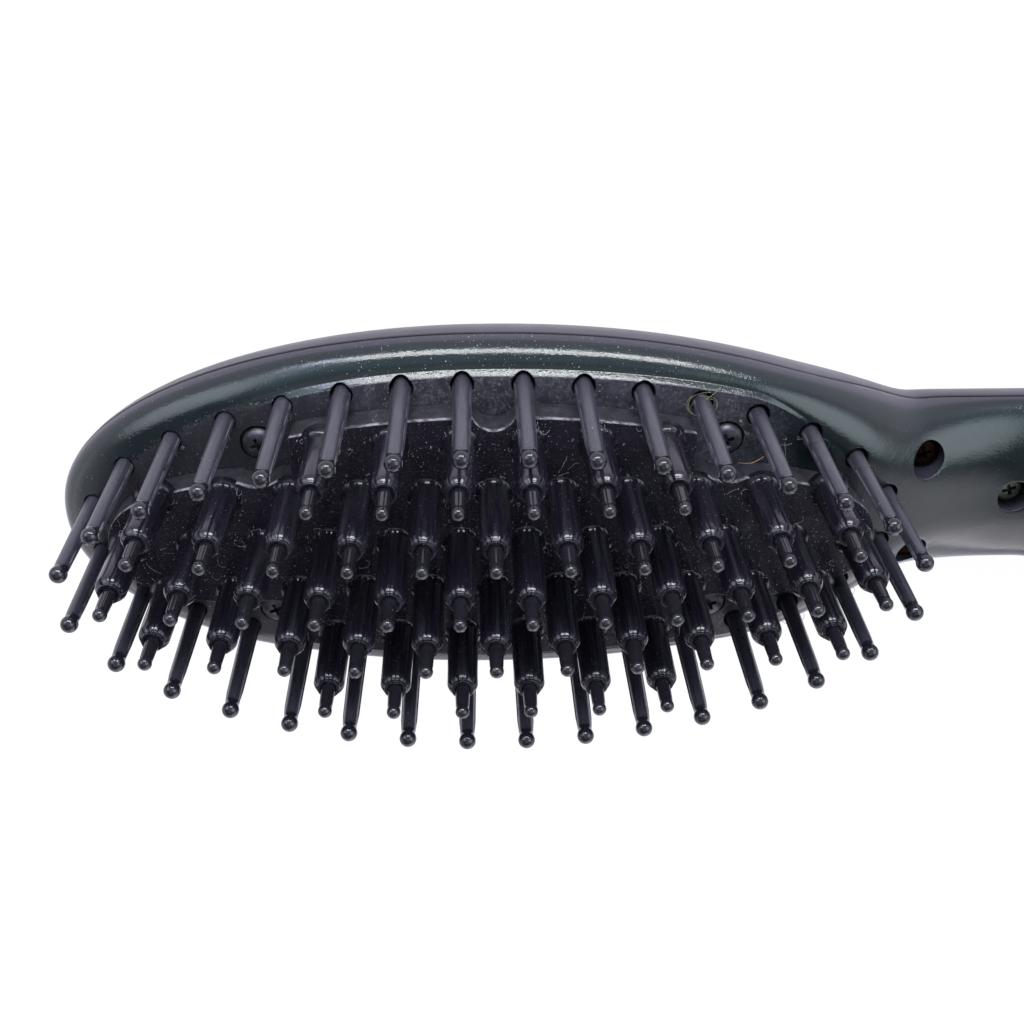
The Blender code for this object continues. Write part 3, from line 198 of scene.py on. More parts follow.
# Shape of the casing at each place along the brush

def head_ratio(x):
    return min(abs(x) / (HEAD_TIP if x < 0 else HEAD_ROOT), 1.0)


def half_width(x):
    head = HEAD_HALF_WIDTH * (1 - head_ratio(x) ** OUTLINE_POWER) ** (1 / OUTLINE_POWER)
    stem = NECK_HALF_WIDTH * smooth(x, 0, NECK_START)
    stem += (GRIP_HALF_WIDTH - NECK_HALF_WIDTH) * smooth(x, NECK_END, GRIP_START)
    stem -= (GRIP_HALF_WIDTH - TAIL_HALF_WIDTH) * smooth(x, GRIP_END, HANDLE_END)
    return (head ** 4 + stem ** 4) ** 0.25


def part_height(x):
    height = HEAD_PARTING
    height += (NECK_PARTING - HEAD_PARTING) * smooth(x, 0.7 * NECK_START, 1.15 * NECK_START)
    return height + (GRIP_PARTING - NECK_PARTING) * smooth(x, NECK_END, GRIP_START)


def front_height(x):
    height = LEDGE_HEIGHT
    height += (NECK_HEIGHT - LEDGE_HEIGHT) * smooth(x, 0.87 * NECK_START, NECK_END - 0.004)
    height += (GRIP_HEIGHT - NECK_HEIGHT) * smooth(x, NECK_END, PANEL_START - 0.002)
    return height + (TAIL_HEIGHT - GRIP_HEIGHT) * smooth(x, GRIP_END, HANDLE_END)


def front_flat(x):
    flat = RIM_FLAT + (NECK_FLAT - RIM_FLAT) * smooth(x, 0.6 * NECK_START, 1.2 * NECK_START)
    return flat + (GRIP_FLAT - NECK_FLAT) * smooth(x, NECK_END, PANEL_START - 0.002)


def tail_shrink(x):
    """How much of the section is left where the end of the handle is rounded."""
    run = max(x - (HANDLE_END - TAIL_ROUND), 0.0) / TAIL_ROUND
    return 1 - TAIL_ROUND * (1 - math.sqrt(max(1 - run * run, 0.0))) / half_width(x)


def side_of(x, front):
    """Share of the half width that is flat, and the rise from the parting line to it."""
    if front:
        return front_flat(x), front_height(x) - part_height(x)
    return BACK_FLAT, -part_height(x)


def ledge_step(x):
    """Height of the step round the ledge. It fades out toward the tip and the neck."""
    return LEDGE_STEP * smooth(x, -0.042, -0.026) * (1 - smooth(x, 0.5 * NECK_START, 0.8 * NECK_START))


def crown(ring, outline_x, front, inset=0.0):
    """Height of the casing at a share of the way from its middle to a place on its outline."""
    x = max(outline_x, 0.0)
    flat, rise = side_of(x, front)
    step = ledge_step(outline_x) if front else 0.0
    bulge = math.sqrt(max(1 - (max(ring - flat, 0.0) / (1 - flat)) ** 2, 0.0))
    height = (rise - math.copysign(inset, rise) - step) * bulge
    height += step * (1 - slope(ring, flat, flat + STEP_WIDTH))
    return part_height(x) + height * tail_shrink(x)


def surface(x, y, front=True):
    """Height of the casing's front or back above a place."""
    if x < 0:
        ring = abs(y / HEAD_HALF_WIDTH) ** OUTLINE_POWER + head_ratio(x) ** OUTLINE_POWER
        ring = ring ** (1 / OUTLINE_POWER)
        return crown(ring, x / ring, front)
    return crown(abs(y) / half_width(x), x, front)


def half_section(x, turn, front, inset):
    """Points of half a section, from the parting line to the middle. Round the tip the sections fan out."""
    width = half_width(x)
    flat, rise = side_of(x, front)
    inner = flat + STEP_WIDTH
    rings = [inner + (1 - inner) * math.cos(math.pi / 2 * i / SECTION_STEPS) for i in range(SECTION_STEPS)]
    rings += [inner + (flat - inner) * i / EDGE_STEPS for i in range(EDGE_STEPS + 1)]
    along = HEAD_TIP * max(math.cos(math.radians(turn)), 0.0) ** (2 / OUTLINE_POWER)
    across = width * math.sin(math.radians(turn)) ** (2 / OUTLINE_POWER)
    outline_x = x - along
    along *= (HEAD_TIP - inset) / HEAD_TIP
    across *= tail_shrink(x) * (width - inset) / width
    points = [(x - along * ring, across * ring, crown(ring, outline_x, front, inset)) for ring in rings]
    cut_back = 0.0 if inset else PARTING_EDGE
    edge = part_height(x) + math.copysign(PARTING_GAP / 2, rise)
    rounding = ((1 - cut_back / width, 0.0), (1 - 0.3 * cut_back / width, 0.3 * PARTING_EDGE), (1.0, PARTING_EDGE))
    return [(x - along * share, across * share, edge + math.copysign(up, rise))
            for share, up in rounding] + points[2:]


def casing_places():
    """Where the sections stand: along the brush, and how far each has turned round the tip."""
    places = [(0.0, 90 * i / 40) for i in range(40)]
    for start, end, count in ((0.0, 0.6 * NECK_START, 18), (0.6 * NECK_START, PANEL_START, 52),
                              (PANEL_START, GRIP_END, 24), (GRIP_END, HANDLE_END - TAIL_ROUND, 14)):
        places += [(x, 90.0) for x in spread(start, end, count)]
    return places + [(HANDLE_END - TAIL_ROUND * (1 - math.sin(math.radians(a))), 90.0)
                     for a in (0, 12, 24, 36, 48, 60, 72, 82, 90)]


# Making pieces

scene = bpy.context.scene


def raw_object(name, shape):
    """An object from a bmesh or a mesh, not yet part of the brush."""
    if isinstance(shape, bmesh.types.BMesh):
        bm = shape
        bmesh.ops.recalc_face_normals(bm, faces=bm.faces)
        shape = bpy.data.meshes.new(name)
        bm.to_mesh(shape)
        bm.free()
    thing = bpy.data.objects.new(name, shape)
    scene.collection.objects.link(thing)
    return thing


def settle(thing):
    """Turn an object with its modifiers into a plain mesh."""
    graph = bpy.context.evaluated_depsgraph_get()
    mesh = bpy.data.meshes.new_from_object(thing.evaluated_get(graph))
    thing.modifiers.clear()
    thing.data = mesh
    return thing


def cut(thing, cutter, operation='DIFFERENCE', crossing=False):
    """Cut a bmesh or a mesh out of an object, or join it on. The cutter may cross itself."""
    tool = raw_object("tool", cutter)
    modifier = thing.modifiers.new("cut", 'BOOLEAN')
    modifier.operation = operation
    modifier.object = tool
    modifier.use_self = crossing
    settle(thing)
    bpy.data.objects.remove(tool)
    return thing


def shade(thing, angle, weighted=False):
    """Smooth shading with sharp edges. Weighted normals keep flat faces flat."""
    thing.data.shade_smooth()
    thing.data.set_sharp_from_angle(angle=math.radians(angle))
    if weighted:
        thing.modifiers.new("flat faces stay flat", 'WEIGHTED_NORMAL').keep_sharp = True
        settle(thing)


def finish_piece(thing, material, body="brush", stands_for=(), angle=35):
    """Give an object its material, its body and the CAD nodes that it stands for."""
    if thing.type == 'MESH':
        if angle:
            shade(thing, angle)
        thing.data.materials.clear()
    thing.data.materials.append(material)
    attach(thing, body)
    if stands_for:
        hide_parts(*stands_for)


def add_ring(bm, points, before=None, cap=False):
    """A loop of vertices, joined to the loop before it."""
    ring = [bm.verts.new(point) for point in points]
    if before:
        for i in range(len(ring)):
            j = (i + 1) % len(ring)
            if len(before) == 1:
                bm.faces.new((before[0], ring[j], ring[i]))
            else:
                bm.faces.new((before[i], before[j], ring[j], ring[i]))
    elif cap:
        bm.faces.new(ring[::-1])
    return ring


def add_block(bm, low, high):
    """A closed solid between two loops with as many points."""
    before = add_ring(bm, low, cap=True)
    bm.faces.new(add_ring(bm, high, before))


def turned(bm, profile, place=(0, 0, 0), sides=32, seam=0.0, axis='Z', seam_end=1.0):
    """Spin a profile of (radius, height) points that starts and ends on the axis. A mould seam may stand
    out on both sides, as far as seam_end."""
    angles = [(360 * i / sides, 0.0) for i in range(sides)]
    if seam:
        angles = []
        for start in (0, 180):
            angles += [(start, 1.0), (start + 4, 0.35), (start + 8, 0.0)]
            angles += [(start + 8 + 164 * i / (sides // 2), 0.0) for i in range(1, sides // 2)]
            angles += [(start + 172, 0.0), (start + 176, 0.35)]
    px, py, pz = place
    before = None
    for radius, height in profile:
        points = []
        for angle, k in angles:
            reach = radius + (seam * k if height < seam_end else 0.0)
            a, b = reach * math.cos(math.radians(angle)), reach * math.sin(math.radians(angle))
            points.append((px + height, py + a, pz + b) if axis == 'X' else (px + a, py + b, pz + height))
        if radius > 0:
            before = add_ring(bm, points, before)
            continue
        end = bm.verts.new((px + height, py, pz) if axis == 'X' else (px, py, pz + height))
        for i in range(len(before or ())):
            bm.faces.new((before[i], before[(i + 1) % len(before)], end))
        before = [end]


def arc(middle, height, radius, start, end, steps):
    """Profile points on part of a circle, with angles in degrees from the outward direction."""
    angles = [math.radians(start + (end - start) * i / steps) for i in range(steps + 1)]
    return [(max(middle + radius * math.cos(a), 0.0), height + radius * math.sin(a)) for a in angles]


def ball(radius, neck, middle, steps):
    """Profile of a ball that grows out of a neck."""
    start = -math.degrees(math.acos(neck / radius))
    points = arc(0, middle, radius, start, 90, steps)
    points[-1] = (0, middle + radius)
    return points


def flat_mesh(outline, low, high):
    """A flat piece from its outline, between two heights."""
    bm = bmesh.new()
    bottom = [bm.verts.new((x, y, low)) for x, y in outline]
    top = [bm.verts.new((x, y, high)) for x, y in outline]
    bm.faces.new(bottom[::-1])
    bm.faces.new(top)
    for i in range(len(outline)):
        j = (i + 1) % len(outline)
        bm.faces.new((bottom[i], bottom[j], top[j], top[i]))
    return bm


def bore(bm, radius, low, high, place=(0, 0, 0), sides=48, axis='Z'):
    """A plain round cutter between two heights."""
    turned(bm, [(0, low), (radius, low), (radius, high), (0, high)], place, sides, axis=axis)


def oval(a, b, count, middle=(0.0, 0.0)):
    return [(middle[0] + a * math.cos(2 * math.pi * i / count),
             middle[1] + b * math.sin(2 * math.pi * i / count)) for i in range(count)]


def rounded_box(length, width, corner, middle=(0.0, 0.0), steps=8):
    """Outline of a rectangle with round corners."""
    outline = []
    for quarter, (sx, sy) in enumerate(((1, 1), (-1, 1), (-1, -1), (1, -1))):
        for i in range(steps + 1):
            angle = math.radians(90 * quarter + 90 * i / steps)
            outline.append((middle[0] + sx * (length / 2 - corner) + corner * math.cos(angle),
                            middle[1] + sy * (width / 2 - corner) + corner * math.sin(angle)))
    return outline


def round_edges(thing, width, segments=3, angle=40):
    modifier = thing.modifiers.new("rounding", 'BEVEL')
    modifier.width = width
    modifier.segments = segments
    modifier.limit_method = 'ANGLE'
    modifier.angle_limit = math.radians(angle)
    modifier.harden_normals = False
    return settle(thing)


# Looks. Grain, hairline marks and dust are finer on the real brush. They are drawn as coarse as they
# need to show.

def linear(colour):
    """An sRGB hex colour as linear red, green, blue and alpha."""
    parts = [int(colour[i:i + 2], 16) / 255 for i in (1, 3, 5)]
    return (*(p / 12.92 if p <= 0.04045 else ((p + 0.055) / 1.055) ** 2.4 for p in parts), 1.0)


def add(tree, kind, inputs=(), out=0, **settings):
    """Add a node with its settings, and return one of its outputs. The inputs are given by name, or in their
    order on the node. A socket is linked, a hex colour is turned linear, and any other value is set."""
    node = tree.nodes.new("ShaderNode" + kind)
    for name, value in settings.items():
        setattr(node, name, value)
    if isinstance(inputs, dict):
        pairs = [(node.inputs[name], value) for name, value in inputs.items()]
    else:
        pairs = list(zip([socket for socket in node.inputs if socket.enabled], inputs))
    for socket, value in pairs:
        if isinstance(value, bpy.types.NodeSocket):
            tree.links.new(value, socket)
        else:
            socket.default_value = linear(value) if isinstance(value, str) else value
    outputs = [socket for socket in node.outputs if socket.enabled]
    return node.outputs[out] if isinstance(out, str) else outputs[out]


def new_material(name, **inputs):
    """A material with its shader's plain values, its tree, and the place on the piece."""
    material = bpy.data.materials.new(name)
    material.use_nodes = True
    tree = material.node_tree
    for key, value in inputs.items():
        tree.nodes["Principled BSDF"].inputs[key.replace("_", " ")].default_value = value
    return material, tree, add(tree, "TexCoord", out="Object")


def noise(tree, place, size, detail=2.0, low=0.0, high=1.0, out=(0.0, 1.0)):
    """Cloudy pattern whose blotches are about size across, spread over a range."""
    cloud = add(tree, "TexNoise", (place, 1 / size, detail))
    return add(tree, "MapRange", (cloud, low, high, *out))


def painted(tree, colour, *layers):
    """A colour with others laid over it, each with the share of it that shows."""
    for share, over in layers:
        colour = add(tree, "Mix", (share, colour, over), data_type='RGBA')
    return colour


def marked(tree, place, rough, spacing, turn, depth):
    """A roughness with fine hairline marks in it that all run about one way."""
    rolled = add(tree, "Mapping", {"Vector": place, "Rotation": (0.0, 0.0, math.radians(turn)),
                                   "Scale": (0.04 / spacing, 1 / spacing, 0.6 / spacing)})
    return add(tree, "Math", (rough, noise(tree, rolled, 1.0, 2.0, 0.64, 0.70, (0.0, depth))))


def specks(tree, place, size, share):
    """Pale dust: uneven dots much smaller than size, lying in patches. It settles on what faces up."""
    torn = add(tree, "TexNoise", (place, 3 / size, 2.0), "Color")
    torn = add(tree, "VectorMath", (torn, 0.35 * size), operation='SCALE')
    torn = add(tree, "VectorMath", (place, torn), operation='ADD')
    distance, colour, _ = [s for s in add(tree, "TexVoronoi", (torn, 1 / size)).node.outputs if s.enabled]
    pick = add(tree, "SeparateColor", (colour,)).node.outputs
    reach = add(tree, "Math", (pick[0], 3.0), operation='POWER')
    reach = add(tree, "MapRange", (reach, 0, 1, 0.12, 0.30))
    fade = add(tree, "Math", (reach, 0.6), operation='MULTIPLY')
    dot = add(tree, "MapRange", (distance, reach, fade))
    facing = add(tree, "SeparateXYZ", (add(tree, "NewGeometry", out="Normal"),), 2)
    facing = add(tree, "MapRange", (facing, -0.3, 0.5, 0.2, 1))
    patch = noise(tree, place, 0.012, 3.0, 0.36, 0.68, (0.3 * share, share))
    patch = add(tree, "Math", (patch, facing), operation='MULTIPLY')
    here = add(tree, "Math", (pick[1], patch), operation='LESS_THAN')
    weight = add(tree, "MapRange", (pick[2], 0, 1, 0.15, 0.8))
    here = add(tree, "Math", (here, weight), operation='MULTIPLY')
    return add(tree, "Math", (dot, here), operation='MULTIPLY')


def dust_film(tree, place, most):
    """Share of pale dust in a thin, grainy film."""
    grains = noise(tree, place, 0.00040, 3.0, 0.50, 0.74)
    patch = noise(tree, place, 0.0050, 3.0, 0.36, 0.62, (0.25 * most, most))
    return add(tree, "Math", (grains, patch), operation='MULTIPLY')


DUST = "#a9a5ad"


def coated(material, base, rough, relief, dots=None, thickness=0.00003):
    """Give a material its colour and roughness, and its relief as (pattern, height, strength) layers. Dots of
    dust may lie on top."""
    tree = material.node_tree
    if dots:
        base = painted(tree, base, (dots, DUST))
        rough = add(tree, "MapRange", (dots, 0, 1, rough, 0.8))
        relief = [*relief, (dots, thickness, 1.0)]
    sockets = {"Base Color": base, "Roughness": rough}
    for pattern, height, strength in relief:
        inputs = {"Strength": strength, "Distance": height, "Height": pattern}
        if "Normal" in sockets:
            inputs["Normal"] = sockets["Normal"]
        sockets["Normal"] = add(tree, "Bump", inputs)
    for name, socket in sockets.items():
        tree.links.new(socket, tree.nodes["Principled BSDF"].inputs[name])
    return material


def moulded_plastic(name, colour, mottle, roughness, grain, height, ior=1.5, dust=0.0, scratch=0.0,
                    speck=0.0007):
    """Injection-moulded plastic: a slight mottle, the mould's grain, handling marks and dust."""
    material, tree, place = new_material(name, IOR=ior)
    base = painted(tree, colour, (noise(tree, place, 0.006, 4.0, 0.3, 0.7), mottle))
    rough = noise(tree, place, 0.003, 3.0, 0.3, 0.7, (roughness - 0.03, roughness + 0.03))
    rough = marked(tree, place, rough, 0.00025, 27, scratch)
    dots = specks(tree, place, speck, dust) if dust else None
    return coated(material, base, rough, [(noise(tree, place, grain, 3.0), height, 1.0)], dots)


def worn_metal(name, colour, darker, roughness):
    """Plated or rolled metal: uneven lustre, tarnish in patches and fine marks."""
    material, tree, place = new_material(name, Metallic=1.0)
    base = painted(tree, colour, (noise(tree, place, 0.0015, 4.0, 0.35, 0.65), darker))
    rough = noise(tree, place, 0.0008, 3.0, 0.3, 0.7, (roughness - 0.06, roughness + 0.08))
    rough = marked(tree, place, rough, 0.0004, 62, 0.12)
    return coated(material, base, rough, [(noise(tree, place, 0.0004), 0.000006, 1.0)])


def casing_gloss():
    """Piano-black ABS with a green cast. The shoulder is polished, with a faint orange peel and a fine
    haze that frays reflections. Where it turns down it is painted purple-grey, a painted reflection of the
    floor. The ledge round the plate is eroded and dusty, so it looks dull. It is cleaner toward the tip."""
    material, tree, place = new_material("abs_polished_green_black", IOR=1.53)
    along, _, height = add(tree, "SeparateXYZ", (place,)).node.outputs
    ragged = noise(tree, place, 0.00035, 2.0, 0.0, 1.0, (-0.00025, 0.00025))
    height = add(tree, "Math", (height, ragged))
    level = add(tree, "MapRange", (height, LEDGE_HEIGHT - 0.00022, LEDGE_HEIGHT - 0.00006))
    head = add(tree, "MapRange", (along, 0.045, 0.030))
    ledge = add(tree, "Math", (level, head), operation='MULTIPLY')
    clean = add(tree, "MapRange", (along, -0.013, -0.033, 0, 0.85))
    # Painted reflection: faces of the front that turn down are painted purple-grey, as the floor would show in them
    clear_of_painted_reflection = add(tree, "SeparateXYZ", (add(tree, "NewGeometry", out="Normal"),), 2)
    clear_of_painted_reflection = add(tree, "MapRange", (clear_of_painted_reflection, 0.27, 0.36))
    green = painted(tree, "#10181b", (noise(tree, place, 0.009, 4.0, 0.3, 0.7), "#141d20"))
    gloss = painted(tree, "#2e2c36", (clear_of_painted_reflection, green))
    dull = painted(tree, "#2b2932", (noise(tree, place, 0.0014, 6.0, 0.36, 0.66), "#45424d"),
                   (dust_film(tree, place, 0.34), DUST), (clean, "#25232b"))
    polish = noise(tree, place, 0.004, 3.0, 0.36, 0.64, (0.07, 0.15))
    rough = add(tree, "MapRange", (ledge, 0, 1, polish, 0.45))
    rough = marked(tree, place, rough, 0.0003, 8, 0.10)
    relief = [(noise(tree, place, 0.0022), 0.00003, 1.0),
              (noise(tree, place, 0.00030), 0.00003, add(tree, "MapRange", (ledge, 0, 1, 0.80, 1.0)))]
    near_pins = add(tree, "MapRange", (along, 0.040, 0.018, 0.12, 1))
    near_pins = add(tree, "Math", (clean, -0.75, near_pins), operation='MULTIPLY_ADD')
    dots = add(tree, "Math", (specks(tree, place, 0.00040, 0.85), near_pins), operation='MULTIPLY')
    flecks = add(tree, "Math", (specks(tree, place, 0.00048, 2.60), ledge), operation='MULTIPLY')
    dots = add(tree, "Math", (dots, flecks), operation='MAXIMUM')
    return coated(material, painted(tree, gloss, (ledge, dull)), rough, relief, dots)


def pin_nylon():
    """Black nylon: a soft sheen, faint draw marks along each pin, a painted highlight as a pale, broken line
    beside the mould seam on the side that faces the middle of the brush, and a little dust. The balls are
    polished by use, so they glint."""
    material, tree, place = new_material("nylon_satin_black", IOR=1.53)
    drawn = add(tree, "Mapping", {"Vector": place, "Scale": (1.0, 1.0, 0.06)})
    marks = noise(tree, drawn, 0.0003, 3.0, 0.3, 0.7)
    along, _, height = add(tree, "SeparateXYZ", (place,)).node.outputs
    level = add(tree, "Math", (along, along), operation='MULTIPLY')
    level = add(tree, "Math", (level, PIN_DROOP / RING_A ** 2, height), operation='MULTIPLY_ADD')
    at_ball = add(tree, "MapRange", (level, PIN_HEIGHT - 2.4 * PIN_BALL_RADIUS,
                                     PIN_HEIGHT - 2.0 * PIN_BALL_RADIUS))
    rough = noise(tree, place, 0.0009, 3.0, 0.3, 0.7, (0.27, 0.36))
    rough = add(tree, "MapRange", (at_ball, 0, 1, rough, 0.06))
    # Painted highlight: a pale, broken line beside the mould seam, on the side of each pin that faces the middle
    facing = add(tree, "SeparateXYZ", (add(tree, "NewGeometry", out="Normal"),))
    inward = add(tree, "MapRange", (along, -0.0001, 0.0001, 1, -1))
    seam = add(tree, "Math", (facing, inward, -0.95), operation='MULTIPLY_ADD')
    seam = add(tree, "Math", (seam,), operation='ABSOLUTE')
    seam = add(tree, "MapRange", (seam, 0.045, 0.025, 0, 0.50))
    rubbed = noise(tree, place, 0.0025, 3.0, 0.40, 0.56)
    seam = add(tree, "Math", (seam, rubbed), operation='MULTIPLY')
    dots = specks(tree, place, 0.00045, 0.16)
    base = painted(tree, "#2b2932", (marks, "#393742"), (at_ball, "#1a1820"), (seam, "#94919c"), (dots, DUST))
    return coated(material, base, rough, [(marks, 0.00001, 1.0), (dots, 0.00003, 1.0)])


def plate_coating():
    """Aluminium casting with a baked black ceramic coat: glassy, with tiny pits, rubbed marks and a lot
    of dust and skin flakes between the teeth. Dust also lies on its side wall. The pale band on its rounded
    edge is partly dust and partly a painted highlight."""
    material, tree, place = new_material("aluminium_black_ceramic_coat", IOR=1.5)
    height = add(tree, "SeparateXYZ", (place,), 2)
    side = add(tree, "MapRange", (height, PLATE_TOP - 0.00050, PLATE_TOP - 0.00090))
    # Pale band on the rounded top edge: partly dust, partly a painted highlight
    below = add(tree, "MapRange", (height, PLATE_TOP - 0.00003, PLATE_TOP - 0.00010))
    edge = add(tree, "Math", (below, side), operation='SUBTRACT')
    patchy = noise(tree, place, 0.0010, 4.0, 0.40, 0.60, (0.15, 1.0))
    edge = add(tree, "Math", (edge, patchy), operation='MULTIPLY')
    wall = painted(tree, "#1c1a21", (noise(tree, place, 0.0014, 6.0, 0.36, 0.66), "#322f39"))
    base = painted(tree, "#18151f", (noise(tree, place, 0.004, 4.0, 0.3, 0.7), "#221f2b"), (side, wall),
                   (dust_film(tree, place, 0.06), DUST), (edge, "#95919b"))
    rough = noise(tree, place, 0.0035, 5.0, 0.48, 0.72, (0.12, 0.26))
    rough = marked(tree, place, rough, 0.00028, 74, 0.15)
    rough = add(tree, "MapRange", (below, 0, 1, rough, 0.55))
    dots = add(tree, "Math", (specks(tree, place, 0.00040, 1.00), specks(tree, place, 0.00030, 0.90)),
               operation='MAXIMUM')
    return coated(material, base, rough, [(noise(tree, place, 0.0013, 3.0), 0.00003, 1.0)], dots, 0.00004)


def tooth_coating():
    """The same coat on the teeth, drawn into faint upright streaks where hair has rubbed it."""
    material, tree, place = new_material("aluminium_black_ceramic_rubbed", IOR=1.5)
    drawn = add(tree, "Mapping", {"Vector": place, "Scale": (1.0, 1.0, 0.05)})
    streaks = noise(tree, drawn, 0.0004, 3.0, 0.3, 0.7)
    smear = noise(tree, drawn, 0.0012, 4.0, 0.52, 0.68, (0.0, 0.05))
    base = painted(tree, "#16131d", (streaks, "#1e1b26"), (smear, DUST))
    rough = add(tree, "MapRange", (streaks, 0, 1, 0.09, 0.15))
    return coated(material, base, rough, [(streaks, 0.000006, 1.0)], specks(tree, place, 0.00030, 0.45),
                  0.00004)


def smoked_window():
    """Grey acrylic: clear enough to read the number through, with a few hairline marks."""
    material, tree, place = new_material("acrylic_smoked", IOR=1.49, Transmission_Weight=1.0)
    base = painted(tree, "#6f7478", (noise(tree, place, 0.004), "#7a7f83"))
    return coated(material, base, marked(tree, place, 0.03, 0.0004, 15, 0.09), [])


def lit_segment():
    """Glowing bars of the digits: pale blue light, slightly uneven."""
    material, tree, place = new_material("led_segment", Emission_Strength=1.6, Roughness=0.5)
    glow = painted(tree, "#bfe6ff", (noise(tree, place, 0.0006), "#e9f6ff"))
    for name in ("Base Color", "Emission Color"):
        tree.links.new(glow, tree.nodes["Principled BSDF"].inputs[name])
    return material


def laminate():
    """Green glass-epoxy board: the weave shows faintly under the varnish."""
    material, tree, place = new_material("epoxy_board", IOR=1.55)
    weave = add(tree, "TexChecker", {"Vector": place, "Scale": 1 / 0.0005}, "Fac")
    return coated(material, painted(tree, "#1d5a32", (weave, "#1a5130")),
                  noise(tree, place, 0.002, 2.0, 0.3, 0.7, (0.32, 0.42)), [(weave, 0.00001, 1.0)])


def fired_ceramic():
    """White alumina: chalky, with faint grey firing spots."""
    material, tree, place = new_material("alumina_fired", IOR=1.7)
    spots = noise(tree, place, 0.0004, 4.0, 0.55, 0.7)
    return coated(material, painted(tree, "#e6e2d8", (spots, "#c9c4b8")),
                  noise(tree, place, 0.001, 2.0, 0.3, 0.7, (0.55, 0.7)), [(spots, 0.00001, 1.0)])


def split_mica():
    """Amber mica sheet: pearly flakes in a clear brown."""
    material, tree, place = new_material("mica_sheet_amber", IOR=1.58)
    flakes = add(tree, "TexVoronoi", {"Vector": place, "Scale": 1 / 0.002}, "Color")
    base = painted(tree, "#a8875a", (add(tree, "SeparateColor", (flakes,)), "#c5a878"))
    return coated(material, base, noise(tree, place, 0.002, 2.0, 0.3, 0.7, (0.2, 0.45)), [])


def bead_glass():
    """Amber glass bead of the sensor: clear and glossy, with an uneven tint."""
    material, tree, place = new_material("glass_amber", IOR=1.52, Transmission_Weight=0.85)
    base = painted(tree, "#d98f3c", (noise(tree, place, 0.0008), "#e8a653"))
    return coated(material, base, noise(tree, place, 0.001, 2.0, 0.3, 0.7, (0.04, 0.1)), [])


# The casing

def casing_half(name, front):
    """One closed half of the casing, with its wall, from the tip of the head to the tail."""
    bm = bmesh.new()
    loops = []
    for x, turn in casing_places():
        back = WALL * smooth(x, GRIP_END, HANDLE_END)
        outer = half_section(x, turn, front, 0.0)
        inner = [(px - back, py, pz) for px, py, pz in half_section(x, turn, front, WALL)]
        loops.append([[bm.verts.new((px, side * py, pz)) for px, py, pz in points]
                      for points in (outer, inner) for side in (1, -1)])
    for here, there in zip(loops, loops[1:]):
        for a, b in zip(here, there):
            for i in range(len(a) - 1):
                bm.faces.new((a[i], a[i + 1], b[i + 1], b[i]))
        for left, right in ((0, 1), (2, 3)):
            bm.faces.new((here[left][-1], here[right][-1], there[right][-1], there[left][-1]))
        for outer, inner in ((0, 2), (1, 3)):
            bm.faces.new((here[outer][0], here[inner][0], there[inner][0], there[outer][0]))
    edge = part_height(HANDLE_END) + (1 if front else -1) * PARTING_GAP / 2
    ends = [bm.verts.new((HANDLE_END, 0, edge)), bm.verts.new((HANDLE_END - WALL, 0, edge))]
    last = loops[-1]
    for end, left, right in ((ends[0], last[0], last[1]), (ends[1], last[2], last[3])):
        chain = left + right[::-1]
        for a, b in zip(chain, chain[1:]):
            bm.faces.new((a, b, end))
    for outer, inner in ((last[0], last[2]), (last[1], last[3])):
        bm.faces.new((outer[0], inner[0], ends[1], ends[0]))
    bmesh.ops.remove_doubles(bm, verts=bm.verts, dist=2e-6)
    bmesh.ops.dissolve_degenerate(bm, edges=bm.edges, dist=1e-7)
    return raw_object(name, bm)


def posts(rows, front):
    """Round posts inside the casing. One end of each follows the wall, the other is flat."""
    bm = bmesh.new()
    inside = -0.0009 if front else 0.0009
    for places, radius, other_end in rows:
        for place in places:
            ring = oval(radius, radius, 24, place)
            add_block(bm, [(px, py, surface(px, py, front) + inside) for px, py in ring],
                      [(px, py, other_end) for px, py in ring])
    return bm


# Rounded lip of a hole: how far it has widened and how far below the surface it is, in lips

LIP_STEPS = ((0.0, 1.0), (0.1, 0.6), (0.35, 0.25), (0.7, 0.06), (1.1, -0.08))


def hole(bm, x, y, profile, sides=40, front=True):
    """A cutter for a hole whose rounded lip follows the casing's surface."""
    before = None
    for radius, height in profile:
        ring = [(px, py, height) for px, py in oval(radius, radius, sides, (x, y))]
        before = add_ring(bm, ring, before, cap=True)
    out = 1 if front else -1
    for grow, drop in LIP_STEPS:
        reach = radius + grow * HOLE_LIP
        ring = [(px, py, surface(px, py, front) - out * drop * HOLE_LIP)
                for px, py in oval(reach, reach, sides, (x, y))]
        before = add_ring(bm, ring, before)
    level = out * max(out * pz for _, _, pz in ring) + out * 0.001
    bm.faces.new(add_ring(bm, [(px, py, level) for px, py in oval(reach, reach, sides, (x, y))], before))


def screw_hole(bm, x, y, seat, depth, front=True):
    """A well for the screw's head, and the bore of its shank under it."""
    shank = SCREW_RADIUS + GAP
    hole(bm, x, y, [(shank, seat + depth), (shank, seat), (SCREW_HEAD_RADIUS + GAP, seat)], front=front)


def both_sides(x, y):
    return [(x, y), (x, -y)]


def pin_places():
    """Evenly spaced places round the pin oval, none on its long axis."""
    samples = 4000
    ring = oval(RING_A, RING_B, samples)
    lengths = [math.dist(ring[i], ring[(i + 1) % samples]) for i in range(samples)]
    step = sum(lengths) / PIN_COUNT
    places = []
    run = 0.0
    for point, length in zip(ring, lengths):
        if run >= step * (len(places) + 0.5) and len(places) < PIN_COUNT:
            places.append(point)
        run += length
    return places


